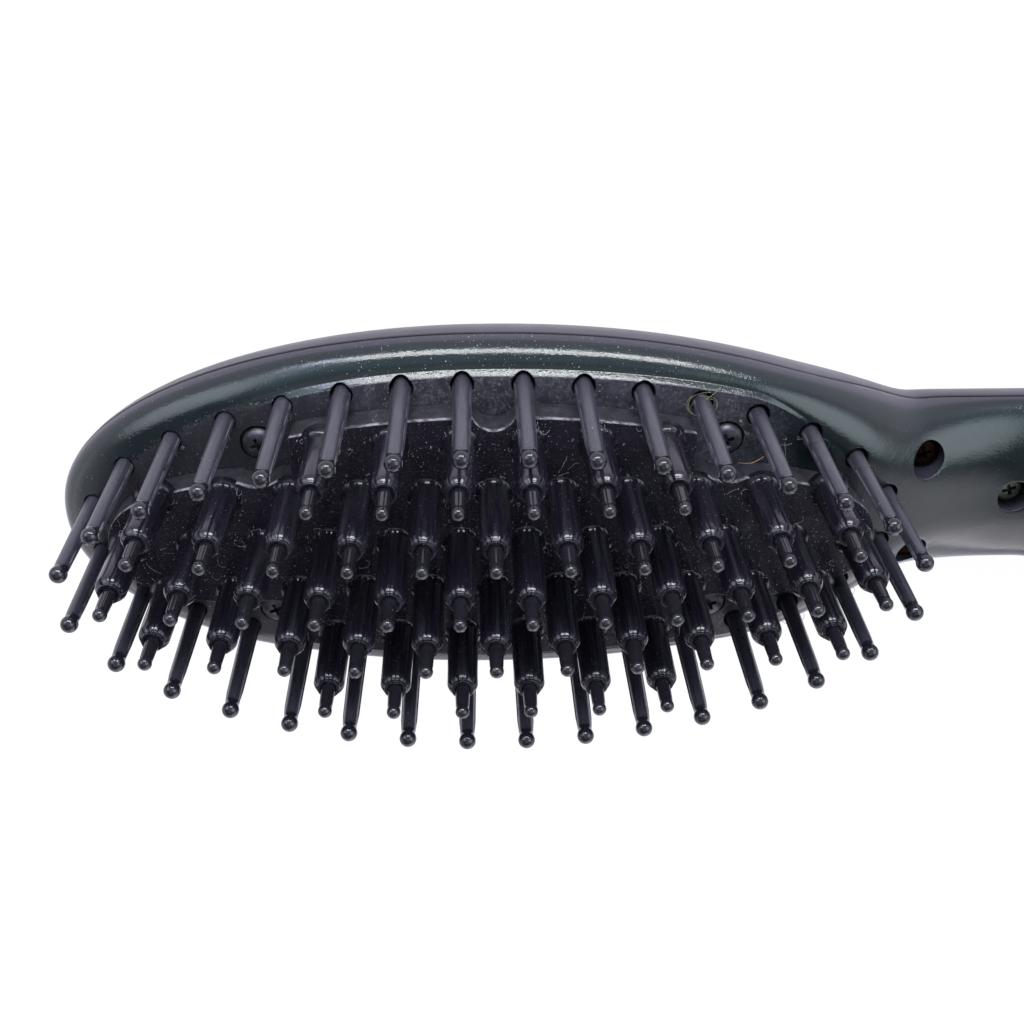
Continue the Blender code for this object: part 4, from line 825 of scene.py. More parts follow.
pins_at = pin_places()
head_screws_at = both_sides(-HEAD_SCREW_X, HEAD_SCREW_Y) + both_sides(HEAD_SCREW_X, HEAD_SCREW_Y)
neck_screws_at = both_sides(NECK_SCREW_X, NECK_SCREW_Y)
collar_screws_at = [(COLLAR_SCREW_X, 0.0)]
tail_screws_at = both_sides(TAIL_SCREW_X, TAIL_SCREW_Y)
head_seat = LEDGE_HEIGHT - 0.0010
neck_seat = surface(NECK_SCREW_X, NECK_SCREW_Y) - WELL_DEPTH
collar_seat = surface(COLLAR_SCREW_X, 0) - WELL_DEPTH
neck_end = max(neck_seat - SEAT_FLOOR, part_height(NECK_SCREW_X) + PARTING_GAP)
collar_end = collar_seat - SEAT_FLOOR
gland_z = part_height(HANDLE_END)


def plate_edge(x, grow):
    """Half width of the heated plate, without its cut-outs."""
    along = abs(x)
    edge = 0.0
    end = SPINE_HALF_LENGTH + grow
    if along < end:
        edge = (SPINE_HALF_WIDTH + grow) * (1 - (along / end) ** 5) ** (1 / 2.4)
    if along <= LOBE_HALF_LENGTH + grow:
        edge = max(edge, (LOBE_B + grow) * math.sqrt(1 - (along / (LOBE_A + grow)) ** 2))
    return edge


def plate_solid(name, low, high, grow):
    """The plate's plan between two heights, with the round cut-outs beside the screws."""
    lobe = LOBE_HALF_LENGTH + grow
    end = SPINE_HALF_LENGTH + grow
    xs = spread(0.0, lobe, 24) + [lobe, lobe + 1e-5]
    xs += [x for x in (end * math.sin(math.radians(a)) for a in range(32, 90, 2)) if x > lobe]
    right = [(x, plate_edge(x, grow)) for x in xs] + [(end, 0.0)]
    upper = right[::-1] + [(-x, y) for x, y in right[1:]]
    solid = raw_object(name, flat_mesh(upper + [(x, -y) for x, y in upper[-2:0:-1]], low, high))
    bites = bmesh.new()
    for x, y in head_screws_at:
        bore(bites, BITE_RADIUS - grow, low - GAP, high + GAP, (x, y, 0))
    for side in (1, -1):
        middle = side * (LOBE_B - NOTCH_DEPTH + NOTCH_RADIUS)
        bore(bites, NOTCH_RADIUS - grow, low - GAP, high + GAP, (0, middle, 0), 46)
    return cut(solid, bites)


def take_mesh(thing):
    """The mesh of an object that isn't needed any more."""
    mesh = thing.data
    bpy.data.objects.remove(thing)
    return mesh


def cut_gland_bore(thing):
    """The round opening in the tail that the cord's gland turns in."""
    bm = bmesh.new()
    bore(bm, GLAND_BORE_RADIUS, -2 * WALL, WALL, (HANDLE_END, 0, gland_z), axis='X')
    cut(thing, bm)


def make_front():
    shell = casing_half("casing_front", True)
    cut(shell, posts(((neck_screws_at, BOSS_RADIUS, neck_end), (collar_screws_at, BOSS_RADIUS, collar_end),
                      (tail_screws_at, POST_RADIUS, TAIL_SEAT + SEAT_FLOOR + GAP)), True), 'UNION')
    cut(shell, take_mesh(plate_solid("plate_opening", LEDGE_HEIGHT - WALL - 0.0014, PLATE_TOP, PLATE_GAP)))
    reach = PIN_FOOT_RADIUS + GAP
    cut(shell, flat_mesh(oval(RING_A + reach, RING_B + reach, 96), PIN_FRAME_BOTTOM - GAP, SEAT_UNDER + GAP))
    holes = bmesh.new()
    for x, y in pins_at:
        worn = smooth(x, -0.034, -0.014)
        shift = PIN_HOLE_SHIFT * worn
        outward = shift / math.hypot(x / RING_A ** 2, y / RING_B ** 2)
        hole(holes, x + outward * x / RING_A ** 2, y + outward * y / RING_B ** 2,
             [(PIN_RADIUS + GAP * (0.55 + 0.45 * worn) + shift, PIN_FRAME_TOP)])
    for places, seat in ((head_screws_at, head_seat), (neck_screws_at, neck_seat),
                         (collar_screws_at, collar_seat)):
        for x, y in places:
            screw_hole(holes, x, y, seat, -0.006)
    cut(shell, holes)
    outline = rounded_box(PANEL_END - PANEL_START + 2 * GAP, PANEL_WIDTH + 2 * GAP, PANEL_WIDTH / 2 + GAP - 1e-5,
                          ((PANEL_START + PANEL_END) / 2, 0), 20)
    cut(shell, flat_mesh(outline, PANEL_BOTTOM, PANEL_TOP + WALL))
    cut_gland_bore(shell)
    shade(shell, 30, weighted=True)
    finish_piece(shell, looks["casing_gloss"], stands_for=["front_shell"], angle=0)


def make_back():
    housing = casing_half("casing_back", False)
    cut(housing, posts(((head_screws_at, POST_RADIUS, LEDGE_HEIGHT - WALL - GAP),
                        (neck_screws_at, POST_RADIUS, neck_end - GAP),
                        (collar_screws_at, POST_RADIUS, collar_end - GAP),
                        (tail_screws_at, BOSS_RADIUS, TAIL_SEAT + SEAT_FLOOR)), False), 'UNION')
    wells = bmesh.new()
    for x, y in tail_screws_at:
        screw_hole(wells, x, y, TAIL_SEAT, 0.004, front=False)
    cut(housing, wells)
    cut_gland_bore(housing)
    shade(housing, 30, weighted=True)
    finish_piece(housing, looks["housing"], stands_for=["rear_housing"], angle=0)


# Pins, plate, teeth and tips

def tapered(first, last, low, high, steps):
    """Profile points after the first on a straight taper, evenly spaced."""
    return [(first + (last - first) * i / steps, low + (high - low) * i / steps) for i in range(1, steps + 1)]


def make_pins():
    """The nylon pins with their mould seams, and the ring that carries them."""
    half = PIN_FRAME_WIDTH / 2
    ring = raw_object("nylon_pins", flat_mesh(oval(RING_A + half, RING_B + half, 96),
                                              PIN_FRAME_BOTTOM, PIN_FRAME_TOP))
    cut(ring, flat_mesh(oval(RING_A - half, RING_B - half, 96), 0.0, 0.03))
    bm = bmesh.new()
    bm.from_mesh(ring.data)
    foot = PIN_FRAME_BOTTOM + GAP
    for x, y in pins_at:
        middle = PIN_HEIGHT - PIN_DROOP * (x / RING_A) ** 2 - PIN_BALL_RADIUS
        collar = middle - PIN_BALL_RADIUS * 1.15
        profile = [(0, foot), (PIN_FOOT_RADIUS, foot), (PIN_FOOT_RADIUS, SEAT_UNDER), (PIN_RADIUS, SEAT_UNDER)]
        profile += tapered(PIN_RADIUS, PIN_TIP_RADIUS, SEAT_UNDER, collar, 9)
        profile += ball(PIN_BALL_RADIUS, PIN_TIP_RADIUS * 0.985, middle, 14)
        turned(bm, profile, (x, y, 0), 28, SEAM_HEIGHT, seam_end=collar)
    bmesh.ops.recalc_face_normals(bm, faces=bm.faces)
    bm.to_mesh(ring.data)
    bm.free()
    finish_piece(ring, looks["pins"], stands_for=["pin_ring"])


def tooth_places():
    middle_row = (len(ROW_TEETH) - 1) / 2
    return [((i - (count - 1) / 2) * TOOTH_PITCH, (middle_row - row) * ROW_PITCH)
            for row, count in enumerate(ROW_TEETH) for i in range(count)]


teeth_at = tooth_places()

# End of a tooth, as radius and depth under its end face: the rim's wall, and after the rounding of the
# rim the groove in the end face and the hole that the tip stands in

RIM_ROUNDING = 0.00009
RIM_WALL = ((0.00160, 0.00036), (0.00159, 0.00014))
END_GROOVE = ((0.00140, 0), (0.00136, 0.00009), (0.00127, 0.00009), (0.00123, 0.00002),
              (TIP_RADIUS + 0.00014, 0.00002), (TIP_RADIUS + 0.00008, 0.00010), (TIP_RADIUS + 0.00006, 0.0007),
              (0, 0.0007))


def tooth_profile(end):
    root = PLATE_TOP - 0.001
    foot = PLATE_TOP - 0.00004 + ROOT_FILLET
    profile = [(0, root), (TOOTH_ROOT + ROOT_FILLET, root)]
    profile += arc(TOOTH_ROOT + ROOT_FILLET, foot, ROOT_FILLET, -90, -180, 7)
    profile += tapered(TOOTH_ROOT, TOOTH_TOP, foot, end - TOOTH_SHOULDER, 5)
    profile += arc(0.00005, end - 0.00197, 0.00222, 17, 45, 8)
    profile += [(radius, end - depth) for radius, depth in RIM_WALL]
    profile += arc(0.00150, end - RIM_ROUNDING, RIM_ROUNDING, 0, 90, 4)
    return profile + [(radius, end - depth) for radius, depth in END_GROOVE]


def tip_profile(end):
    """A tapering nylon shaft with a ball, whose foot stands in the tooth."""
    middle = end + TIP_LENGTH
    low = end + 0.0002
    profile = [(0, end - 0.0009), (TIP_RADIUS, end - 0.0009), (TIP_RADIUS, low)]
    profile += tapered(TIP_RADIUS, TIP_RADIUS * 0.88, low, low + middle - end - 0.0013, 4)
    return profile + ball(TIP_BALL_RADIUS, TIP_RADIUS * 0.83, middle, 12)


def make_plate():
    plate = plate_solid("heater_plate", SKIRT_BOTTOM + 0.0012, PLATE_TOP, 0.0)
    round_edges(plate, PLATE_EDGE, 4)
    shade(plate, 40, weighted=True)
    finish_piece(plate, looks["plate"], stands_for=["heated_plate"], angle=0)

    teeth = bmesh.new()
    tips = bmesh.new()
    for x, y in teeth_at:
        end = TOOTH_HEIGHT - TOOTH_DROP_ALONG * (x / LAST_TOOTH_X) ** 2 - TOOTH_DROP_ACROSS * (y / LAST_TOOTH_Y) ** 2
        turned(teeth, tooth_profile(end), (x, y, 0), 32)
        turned(tips, tip_profile(end), (x, y, 0), 24, TIP_SEAM, seam_end=end + TIP_LENGTH - TIP_BALL_RADIUS)
    for name, shape, look, slot in (("heated_teeth", teeth, "teeth", "coated_aluminium"),
                                    ("tooth_tips", tips, "tips", "pin_nylon")):
        finish_piece(raw_object(name, shape), looks[look], stands_for=["heated_plate"], angle=40)


def cross_recess(place, top, up):
    """Cutter for the tapering cross slot of a screw."""
    bm = bmesh.new()
    for turn in (20, 110):
        spin = Matrix.Translation(place) @ Matrix.Rotation(math.radians(turn), 4, 'Z')
        add_block(bm, *([spin @ Vector((sx * reach, sy * width, top + up * rise))
                         for sx, sy in ((1, 1), (-1, 1), (-1, -1), (1, -1))]
                        for reach, width, rise in ((0.00075, 0.00022, -0.0010), (0.00125, 0.00030, 0.0004))))
    return bm


def make_screws(name, places, seat, material, up=1):
    """Pan head screws with a cross slot. Each stands for its own CAD node."""
    under = up * GAP
    top = under + up * SCREW_HEAD_HEIGHT
    point = -up * (SCREW_LENGTH - GAP)
    profile = [(0, point), (SCREW_RADIUS * 0.3, point + up * 0.0002), (SCREW_RADIUS, point + up * 0.002)]
    for i in range(7):
        height = point + up * (0.0024 + THREAD_PITCH * i)
        profile += [(SCREW_RADIUS, height), (SCREW_RADIUS - THREAD_DEPTH, height + up * 0.00032)]
    profile += [(SCREW_RADIUS, under), (SCREW_HEAD_RADIUS - 0.0001, under)]
    profile += [(SCREW_HEAD_RADIUS, under + up * 0.0001), (SCREW_HEAD_RADIUS, under + up * SCREW_EDGE)]
    for i in range(1, 8):
        turn = math.radians(90 * i / 8)
        profile.append((SCREW_HEAD_RADIUS * (0.62 + 0.38 * math.cos(turn)),
                        under + up * (SCREW_EDGE + (SCREW_HEAD_HEIGHT - SCREW_EDGE) * math.sin(turn))))
    profile.append((0, top))
    for number, (x, y) in enumerate(places, 1):
        bm = bmesh.new()
        turned(bm, profile, (x, y, seat), 36)
        screw = raw_object(f"{name}_{number}_head", bm)
        cut(screw, cross_recess(Vector((x, y, seat)), top, up), crossing=True)
        finish_piece(screw, material, stands_for=[f"{name}_{number}"])


# Control panel, buttons and display

BUTTON_RISE = 0.0009        # how far the buttons stand above the panel
FLANGE = 0.0008             # width and height of a button's flange under the panel
CAP_ROUND = 0.0006          # rounding of a button's top edge
CAP_DISH = 0.00018          # how far a button's top is dished
BUTTON_GAP = 0.0004
STEM_RADIUS = 0.0015
WINDOW_X = 0.1150
WINDOW_LENGTH = 0.0220
WINDOW_WIDTH = 0.0095
WINDOW_DEPTH = 0.0012
buttons = (("heat_up", 0.1334, 0.0038), ("heat_down", 0.1446, 0.0038), ("power", 0.1566, 0.0046))


def make_panel():
    low = PANEL_BOTTOM + 0.0005
    outline = rounded_box(PANEL_END - PANEL_START, PANEL_WIDTH, PANEL_WIDTH / 2 - 1e-5,
                          ((PANEL_START + PANEL_END) / 2, 0), 24)
    panel = raw_object("panel_face", flat_mesh(outline, low, PANEL_TOP))
    holes = bmesh.new()
    for _, x, radius in buttons:
        bore(holes, radius + BUTTON_GAP, low - GAP, PANEL_TOP + GAP, (x, 0, 0), 64)
    cut(panel, holes)
    opening = rounded_box(WINDOW_LENGTH + 2 * GAP, WINDOW_WIDTH + 2 * GAP, 0.0006, (WINDOW_X, 0))
    cut(panel, flat_mesh(opening, low - GAP, PANEL_TOP + GAP))
    round_edges(panel, 0.0003)
    shade(panel, 40, weighted=True)
    finish_piece(panel, looks["panel"], stands_for=["control_panel"], angle=0)

    top = PANEL_TOP - 0.0001
    outline = rounded_box(WINDOW_LENGTH, WINDOW_WIDTH, 0.0005, (WINDOW_X, 0))
    window = raw_object("display_glass", flat_mesh(outline, top - WINDOW_DEPTH, top))
    round_edges(window, 0.00015, 2)
    finish_piece(window, looks["window"], stands_for=["display_window"], angle=40)


# Each segment of a digit: its middle in halves of the width and quarters of the height, and if it is upright
SEGMENT_PLACES = {"a": (0, 2, 0), "d": (0, -2, 0), "g": (0, 0, 0), "b": (1, 1, 1), "c": (1, -1, 1),
                  "f": (-1, 1, 1), "e": (-1, -1, 1)}
DIGITS = {"1": "bc", "8": "abcdefg", "0": "abcdef"}


def make_digits():
    """The temperature shown: three seven-segment digits, read with the handle's end to the right."""
    bm = bmesh.new()
    high, wide, thick, pitch = 0.0056, 0.0031, 0.00050, 0.0052
    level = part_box("display_module")[1].z + 0.00005
    for index, digit in enumerate("180"):
        for name in DIGITS[digit]:
            across, up, upright = SEGMENT_PLACES[name]
            x = WINDOW_X + (index - 1) * pitch + across * wide / 2
            y = up * high / 4
            half = ((high / 2 if upright else wide) - 0.0003) / 2
            side = half - thick / 2
            bar = [(-half, 0), (-side, thick / 2), (side, thick / 2), (half, 0), (side, -thick / 2),
                   (-side, -thick / 2)]
            if upright:
                bar = [(-b, a) for a, b in bar]
            add_block(bm, *([(x + a, y + b, z) for a, b in bar] for z in (level, level + 0.00010)))
    finish_piece(raw_object("display_digits", bm), looks["segment"])


def sign_outlines(name):
    """Marks on the buttons: plus, minus, and the ring and stroke of a switch."""
    if name == "power":
        angles = [math.radians(a) for a in range(130, 411, 8)]
        ring = [(0.0017 * math.cos(a), 0.0017 * math.sin(a)) for a in angles]
        ring += [(0.0014 * math.cos(a), 0.0014 * math.sin(a)) for a in reversed(angles)]
        return [ring, rounded_box(0.00030, 0.0017, 0.0001, (0, 0.0012))]
    if name == "heat_down":
        return [rounded_box(0.0028, 0.0004, 0.0001)]
    r, w = 0.0014, 0.0002
    return [[(r, w), (w, w), (w, r), (-w, r), (-w, w), (-r, w), (-r, -w), (-w, -w), (-w, -r), (w, -r),
             (w, -w), (r, -w)]]


def make_buttons():
    top = PANEL_TOP + BUTTON_RISE
    flange = PANEL_BOTTOM - GAP
    for name, x, radius in buttons:
        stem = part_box(f"{name}_button")[0].z
        profile = [(0, stem), (STEM_RADIUS, stem), (STEM_RADIUS, flange - FLANGE), (radius + FLANGE, flange - FLANGE)]
        profile += [(radius + FLANGE, flange), (radius, flange), (radius, top - CAP_ROUND)]
        for i in range(1, 7):
            turn = math.radians(15 * i)
            profile.append((radius - 0.00055 * (1 - math.cos(turn)), top - CAP_ROUND * (1 - math.sin(turn))))
        for share in (0.8, 0.6, 0.4, 0.2, 0):
            profile.append(((radius - CAP_ROUND) * share, top - CAP_DISH * (1 - share * share)))
        bm = bmesh.new()
        turned(bm, profile, (x, 0, 0), 64)
        finish_piece(raw_object(f"{name}_cap", bm), looks["button"], name, [f"{name}_button"])
        sign = bmesh.new()
        for outline in sign_outlines(name):
            add_block(sign, *([(x + a, b, z) for a, b in outline] for z in (top - 0.00030, top - 0.00004)))
        finish_piece(raw_object(f"{name}_sign", sign), looks["sign"], name)


def make_gland():
    """The swivelling gland: a ribbed grip on a round nose, with the cord's hole in its end."""
    nose = GAP
    end = nose + GLAND_LENGTH
    # The shaft inside the handle, the flange that holds it there, and its neck in the bore
    profile = [(0, -0.0145), (0.0034, -0.0145), (0.0034, -0.0045), (0.0078, -0.0045), (0.0078, -0.0023),
               (0.0050, -0.0023), (0.0050, nose), (GLAND_RADIUS - 0.0003, nose)]
    profile += [(GLAND_RADIUS, nose + 0.0003), (GLAND_RADIUS, nose + RIB_START)]
    for i in range(GLAND_RIBS):
        start = nose + RIB_START + RIB_PITCH * i
        high = GLAND_RADIUS - 0.0001 - 0.00018 * i
        profile += [(high, start), (high - RIB_GROOVE, start + 0.0002), (high - RIB_GROOVE, start + 0.0006),
                    (high, start + 0.0008)]
    profile += arc(GLAND_RADIUS - 0.0016, end - 0.0012, 0.0010, 0, 90, 6)
    profile += [(CORD_HOLE_RADIUS + 0.0004, end - 0.0002), (CORD_HOLE_RADIUS, end - 0.0005),
                (CORD_HOLE_RADIUS, end - CORD_HOLE_DEPTH), (0, end - CORD_HOLE_DEPTH)]
    bm = bmesh.new()
    turned(bm, profile, (HANDLE_END, 0, gland_z), 56, axis='X')
    finish_piece(raw_object("cord_gland", bm), looks["gland"], "cord_swivel", ["swivel_gland"])


# Lint and hair

LINT_BY_TEETH = 900
LINT_BY_PINS = 40

def curly(start, heading, length, curl, lift):
    """Points of one fibre that lies on the head and curls as it goes."""
    points = []
    x, y = start
    angle = heading
    turn = chance.uniform(-curl, curl)
    steps = 12
    for i in range(steps + 1):
        z = head_floor(x, y) + 0.00004 + lift * math.sin(math.pi * i / steps)
        points.append((x, y, z))
        turn += chance.uniform(-curl, curl) * 0.6
        angle += turn
        x += length / steps * math.cos(angle)
        y += length / steps * math.sin(angle)
    return points


def fibres(name, routes, radius, material):
    curve = bpy.data.curves.new(name, 'CURVE')
    curve.dimensions = '3D'
    curve.bevel_depth = radius
    curve.bevel_resolution = 0
    for route in routes:
        spline = curve.splines.new('POLY')
        spline.points.add(len(route) - 1)
        for point, place in zip(spline.points, route):
            point.co = (*place, 1)
    thing = bpy.data.objects.new(name, curve)
    scene.collection.objects.link(thing)
    finish_piece(thing, material)


def head_floor(x, y):
    """Height of what lies under a place on the head: the plate inside its outline, or the ledge."""
    if abs(y) < plate_edge(x, 0.0) - 0.0003:
        if all(math.dist((x, y), place) > BITE_RADIUS for place in head_screws_at):
            return PLATE_TOP
    return surface(x, y)


def make_lint():
    routes = []
    for _ in range(LINT_BY_TEETH):
        tooth = chance.choice(teeth_at)
        angle = chance.uniform(0, 2 * math.pi)
        away = 0.0021 + 0.0020 * chance.random() ** 2
        start = (tooth[0] + away * math.cos(angle), tooth[1] + away * math.sin(angle))
        if head_floor(*start) == PLATE_TOP:
            long = 0.0003 + 0.0028 * chance.random() ** 4
            routes.append(curly(start, chance.uniform(0, 6.28), long, 0.50, chance.uniform(0, 0.0006)))
    for _ in range(LINT_BY_PINS):
        x, y = chance.choice(pins_at)
        start = (x * chance.uniform(0.90, 0.99), y * chance.uniform(0.84, 0.97))
        routes.append(curly(start, chance.uniform(0, 6.28), chance.uniform(0.0008, 0.0028), 0.50,
                            chance.uniform(0, 0.0005)))
    fibres("lint_fibres", routes, 0.000017, looks["lint"])


def hair_loop(pin, radius, low, high, turns, start):
    """A hair that winds round a pin and leaves it."""
    points = []
    steps = int(40 * turns)
    for i in range(steps + 1):
        angle = math.radians(start) + 2 * math.pi * turns * i / steps
        reach = radius * (1 + 0.18 * math.sin(2.3 * angle))
        points.append((pin[0] + reach * math.cos(angle), pin[1] + reach * math.sin(angle),
                       low + (high - low) * i / steps + 0.0004 * math.sin(1.7 * angle)))
    return points


def hair_line(pin, offsets, steps=10):
    """A smooth hair through a few places, given from a pin's axis, with their heights."""
    corners = [Vector((pin[0] + dx, pin[1] + dy, z)) for dx, dy, z in offsets]
    points = []
    for i in range(len(corners) - 1):
        before, a, b, after = (corners[min(max(i + k, 0), len(corners) - 1)] for k in (-1, 0, 1, 2))
        for j in range(steps):
            t = j / steps
            points.append(0.5 * (2 * a + (b - before) * t + (2 * before - 5 * a + 4 * b - after) * t * t
                                 + (3 * a - before - 3 * b + after) * t ** 3))
    return points + [corners[-1]]


def nearest_pin(x, y):
    return min(pins_at, key=lambda place: math.dist(place, (x, y)))


def make_hairs():
    """Loose hairs caught by the pins near the neck: fair ones wound round one pin, and an auburn one."""
    pin = nearest_pin(0.0295, 0.0200)
    ledge = LEDGE_HEIGHT
    fair = [hair_loop(pin, 0.00185, ledge + 0.0002, ledge + 0.0011, 1.15, 60),
            hair_loop(pin, 0.00170, ledge + 0.0005, ledge + 0.0016, 0.85, 140),
            hair_line(pin, ((0.0026, 0.0022, surface(pin[0] + 0.0026, pin[1] + 0.0022) + 0.0006),
                            (0.0008, 0.0014, ledge + 0.0012), (-0.0013, 0.0004, ledge + 0.0010),
                            (-0.0017, -0.0012, ledge + 0.0004)))]
    fibres("fair_hairs", fair, 0.000026, looks["fair_hair"])
    auburn = hair_line(nearest_pin(0.0390, 0.0165), ((-0.0045, -0.0020, 0.0330), (-0.0030, -0.0012, 0.0345),
                                                     (-0.0012, -0.0008, 0.0335)))
    fibres("auburn_hair", [auburn], 0.000050, looks["auburn_hair"])
    dark = [hair_loop(place, 0.0016, 0.0262, 0.0274, 0.7, chance.uniform(0, 360))
            for place in pins_at if place[0] > 0.045 and chance.random() < 0.7]
    fibres("dark_hairs", dark, 0.000030, looks["dark_hair"])


# Camera, lamps and floor

def make_camera():
    data = bpy.data.cameras.new("camera")
    data.lens = 43.78
    data.sensor_width = 36.0
    data.clip_start = 0.01
    camera = bpy.data.objects.new("camera", data)
    scene.collection.objects.link(camera)
    right = Vector((0.99957, 0.00402, 0.02906))
    up = Vector((0.01160, 0.85566, -0.51740))
    back = Vector((-0.02694, 0.51752, 0.85525))
    turn = Matrix((right, up, back)).transposed().to_4x4()
    camera.matrix_world = Matrix.Translation((-0.0022185, 0.0967479, 0.1791674)) @ turn
    scene.camera = camera


def soft_box(name, place, width, height, radiance, colour="#ffffff"):
    """A lamp with an even rectangular face, aimed at the head. Its radiance is what a mirror would show."""
    data = bpy.data.lights.new(name, 'AREA')
    data.shape = 'RECTANGLE'
    data.size = width
    data.size_y = height
    data.energy = radiance * math.pi * width * height
    data.color = linear(colour)[:3]
    lamp = bpy.data.objects.new(name, data)
    scene.collection.objects.link(lamp)
    lamp.location = place
    lamp.rotation_euler = (Vector((0, 0, 0.02)) - Vector(place)).to_track_quat('-Z', 'Y').to_euler()
    lamp.visible_camera = False


def toward(turn, rise):
    """Direction that lies turn degrees from +Y toward +X, and rise degrees above the floor."""
    turn, rise = math.radians(turn), math.radians(rise)
    return math.sin(turn) * math.cos(rise), math.cos(turn) * math.cos(rise), math.sin(rise)


# Large soft lights of the room: direction (turn, rise), half angle of the even middle and of the
# whole patch, brightness, and colour

soft_patches = (
    (62, 36, 10, 30, 3.6, "#dcecf2"),      # by the neck: the broad grey-green sheen on neck and shoulder
    (-44, 20, 8, 27, 3.4, "#dde8f0"),      # by the tip: the two soft streaks on the left shoulder
    (138, 12, 22, 48, 1.2, "#f6f5fa"),     # behind the neck's lower edge
    (0, 26, 18, 50, 0.95, "#b4dce8"),      # green-blue cast of the long shoulder
    (0, 75, 10, 60, 0.15, "#f0f0f6"),      # ceiling
    (178, 10, 34, 46, 1.1, "#eeecf6"),     # bright wall beyond the far side
    (-110, 10, 20, 45, 0.6, "#f0eef8"),    # round the tip's outline
)

# Colour of the room's walls at each height

wall_colours = ((0.0, "#f2f0fa"), (0.12, "#d4d2dd"), (0.35, "#8b8995"), (0.60, "#53515c"), (1.0, "#53515c"))


def make_floor():
    """White paper. What the camera sees of it, also in reflections and through clear pieces, is lit evenly."""
    bm = bmesh.new()
    bmesh.ops.create_grid(bm, x_segments=1, y_segments=1, size=6.0)
    floor = raw_object("floor", bm)
    floor.location.z = -0.0003
    material, tree, place = new_material("paper_white", Roughness=0.9, Specular_IOR_Level=0.1)
    shader = tree.nodes["Principled BSDF"]
    paper = painted(tree, "#f1f1f1", (noise(tree, place, 0.004, 4.0, 0.3, 0.7), "#f6f6f6"))
    tree.links.new(paper, shader.inputs["Base Color"])
    rays = add(tree, "LightPath").node.outputs
    seen = add(tree, "Math", (rays["Is Glossy Ray"], rays["Is Transmission Ray"]), operation='MAXIMUM')
    seen = add(tree, "Math", (rays["Is Camera Ray"], seen), operation='MAXIMUM')
    share = add(tree, "Math", (seen, 0.86), operation='MULTIPLY')
    glow = add(tree, "Emission", (painted(tree, "#f1edfd", (rays["Is Camera Ray"], "#ffffff")), 1.07))
    both = add(tree, "MixShader", (share, shader.outputs[0], glow))
    tree.links.new(both, tree.nodes["Material Output"].inputs["Surface"])
    floor.data.materials.append(material)


def make_room():
    world = bpy.data.worlds.new("studio")
    scene.world = world
    world.use_nodes = True
    tree = world.node_tree
    direction = add(tree, "TexCoord", out="Generated")
    light = add(tree, "ValToRGB", (add(tree, "SeparateXYZ", (direction,), 2),))
    stops = light.node.color_ramp.elements
    for index, stop in enumerate((wall_colours[0], wall_colours[-1])):
        stops[index].position = stop[0]
        stops[index].color = linear(stop[1])
    for position, colour in wall_colours[1:-1]:
        stops.new(position).color = linear(colour)
    for turn, up, even, whole, strength, colour in soft_patches:
        near = add(tree, "VectorMath", (direction, toward(turn, up)), operation='DOT_PRODUCT')
        near = add(tree, "MapRange", (near, math.cos(math.radians(whole)), math.cos(math.radians(even))),
                   interpolation_type='SMOOTHSTEP')
        glowing = tuple(strength * part for part in linear(colour)[:3])
        patch = add(tree, "VectorMath", (glowing, near), operation='SCALE')
        light = add(tree, "VectorMath", (light, patch), operation='ADD')
    sky = painted(tree, light, (add(tree, "LightPath", out="Is Camera Ray"), "#ffffff"))
    tree.links.new(sky, tree.nodes["Background"].inputs["Color"])
    tree.nodes["Background"].inputs["Strength"].default_value = 1.0

    soft_box("window_low_pane", (0.04, 0.52, 0.115), 0.44, 0.042, 22.0)
    soft_box("window_high_pane", (0.04, 0.52, 0.190), 0.44, 0.046, 19.0)
    soft_box("window_end", (-0.195, 0.50, 0.115), 0.030, 0.090, 18.0, "#d3daff")
    soft_box("ceiling_panel", (0.0, 0.12, 0.75), 0.50, 0.36, 0.5)


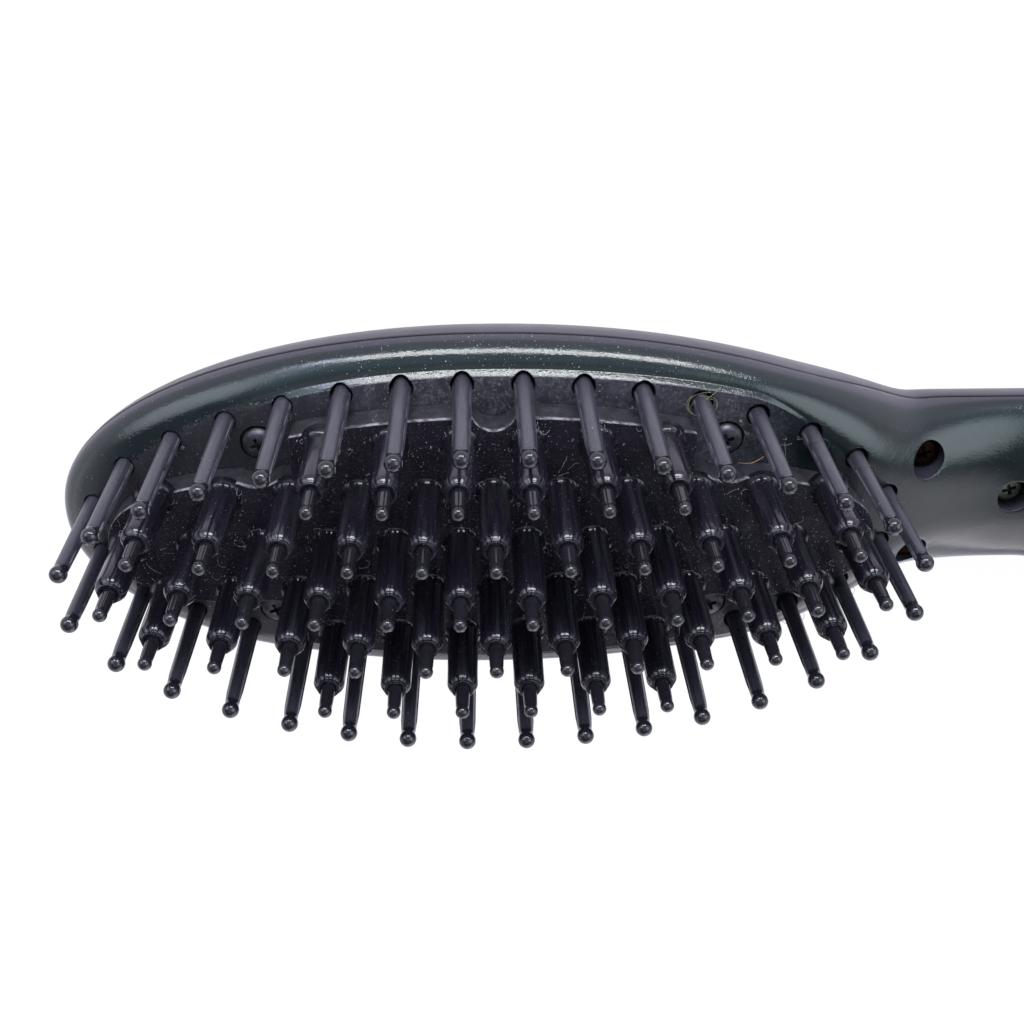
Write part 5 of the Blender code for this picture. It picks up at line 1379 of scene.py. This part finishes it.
# Each row: name, two close colours, roughness, width and height of the grain, IOR, dust, scratches, dust size
plastics = {
    # ABS with a satin texture: broad soft sheen, warmer than the polished front
    "housing": ("abs_satin_plum_black", "#211f27", "#2a2831", 0.30, 0.00030, 0.000012, 1.53, 0.14, 0.08, 0.00045),
    # Nylon tips: the same black as the pins, but polished by use, so each ball has a sharp glint
    "tips": ("nylon_polished_black", "#19171d", "#211f26", 0.09, 0.00040, 0.000004, 1.53, 0.12, 0.05, 0.00040),
    # Acrylic-faced ABS: mirror gloss with finger marks
    "panel": ("abs_mirror_black", "#08080a", "#0c0c0f", 0.07, 0.0030, 0.000008, 1.5, 0.05, 0.10),
    # ABS caps with a matt touch surface
    "button": ("abs_matt_grey", "#4b4c50", "#55565a", 0.45, 0.00020, 0.000012, 1.5, 0.0, 0.05),
    # White paint in the buttons' marks: half matt and slightly uneven
    "sign": ("paint_white", "#d9dadb", "#e6e6e6", 0.50, 0.00030, 0.000006),
    # Soft PVC of the gland: dull, with a blush of wear
    "gland": ("pvc_soft_black", "#1c1c1e", "#262628", 0.48, 0.00035, 0.000015, 1.5, 0.06, 0.05),
    # Glass-filled nylon and epoxy of the switches and the triac: dull black, with hardly a reflection
    "black_part": ("epoxy_black_matt", "#1b1b1d", "#242427", 0.55, 0.00025, 0.000015, 1.55),
    # PVC sleeve shrunk round the capacitor: grey, with a soft sheen
    "sleeve": ("pvc_sleeve_grey", "#8f9296", "#a0a3a7", 0.40, 0.00050, 0.000008, 1.5, 0.0, 0.05),
    # Silicone rubber round the leads: matt red and matt white
    "lead_red": ("silicone_lead_red", "#a32a22", "#b5352b", 0.52, 0.00030, 0.000010, 1.45),
    "lead_white": ("silicone_lead_white", "#d8d6d0", "#e6e4de", 0.52, 0.00030, 0.000010, 1.45),
    # Filter on the face of the display: almost black, so that the digits stand out
    "screen": ("display_face_black", "#0c0e10", "#121517", 0.35, 0.00050, 0.000004),
    # Hair: fair, auburn and dark strands with a soft sheen
    "fair_hair": ("hair_fair", "#8c8868", "#a8a27e", 0.35, 0.00010, 0.000003, 1.55),
    "auburn_hair": ("hair_auburn", "#9a6a4a", "#b98a66", 0.35, 0.00010, 0.000003, 1.55),
    "dark_hair": ("hair_dark", "#3a302c", "#52453e", 0.35, 0.00010, 0.000003, 1.55),
    # Lint: pale cotton and skin dust, not shiny
    "lint": ("cotton_lint", "#aaa6ab", "#c4c0c0", 0.90, 0.00010, 0.000004),
}

# Each row: name, colour, colour of the tarnish, roughness
metals = {
    # Screws: blackened in the head, rusty and darkened with painted shade in the neck's side holes, dull zinc
    # in the middle and the tail
    "screw_black": ("steel_blackened", "#6b6972", "#3c3a42", 0.56),
    "screw_rust_painted_shade": ("steel_rusty_painted_shade", "#2e1b18", "#140e0e", 0.60),
    "screw_zinc": ("steel_zinc_dull", "#8d8f84", "#6a6c63", 0.42),
    # Inner pieces: rolled clamp, tinned screws and fuse, brass contacts, all bright with streaky reflections
    "steel": ("steel_rolled", "#b9bbbe", "#9da0a4", 0.30),
    "tin": ("tin_plate", "#c9cacc", "#aeb0b4", 0.26),
    "brass": ("brass_rolled", "#d8b566", "#b9923f", 0.28),
}

looks = {
    "casing_gloss": casing_gloss(), "pins": pin_nylon(), "plate": plate_coating(), "teeth": tooth_coating(),
    "window": smoked_window(), "segment": lit_segment(), "board": laminate(), "ceramic": fired_ceramic(),
    "mica": split_mica(), "bead": bead_glass(),
    **{key: moulded_plastic(*row) for key, row in plastics.items()},
    **{key: worn_metal(*row) for key, row in metals.items()},
}

carried_over = {
    "heater_element": "ceramic", "mica_sheet": "mica", "heater_clamp": "steel", "clamp_screw": "tin",
    "temperature_sensor": "bead", "thermal_fuse": "tin", "circuit_board": "board", "board_screw": "tin",
    "tact_switch": "black_part", "display_module": "screen", "triac": "black_part", "capacitor": "sleeve",
    "slip_ring": "brass", "contact_spring": "brass", "heater_lead": "lead_red", "jumper_lead": "lead_red",
    "sensor_lead": "lead_white",
}


def dress_carried_nodes():
    """New finishes for the inner pieces, which keep their CAD shape."""
    for name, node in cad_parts.items():
        kind = name.rstrip("0123456789").rstrip("_")
        if kind in carried_over:
            for index in range(len(node.data.materials)):
                node.data.materials[index] = looks[carried_over[kind]]


scene.view_settings.view_transform = 'Standard'
make_camera()
make_front()
make_back()
make_pins()
make_plate()
make_screws("head_screw", head_screws_at, head_seat, looks["screw_black"])
make_screws("neck_screw", neck_screws_at, neck_seat, looks["screw_rust_painted_shade"])
make_screws("collar_screw", collar_screws_at, collar_seat, looks["screw_zinc"])
make_screws("tail_screw", tail_screws_at, TAIL_SEAT, looks["screw_zinc"], up=-1)
make_panel()
make_digits()
make_buttons()
make_gland()
make_lint()
make_hairs()
dress_carried_nodes()
make_floor()
make_room()
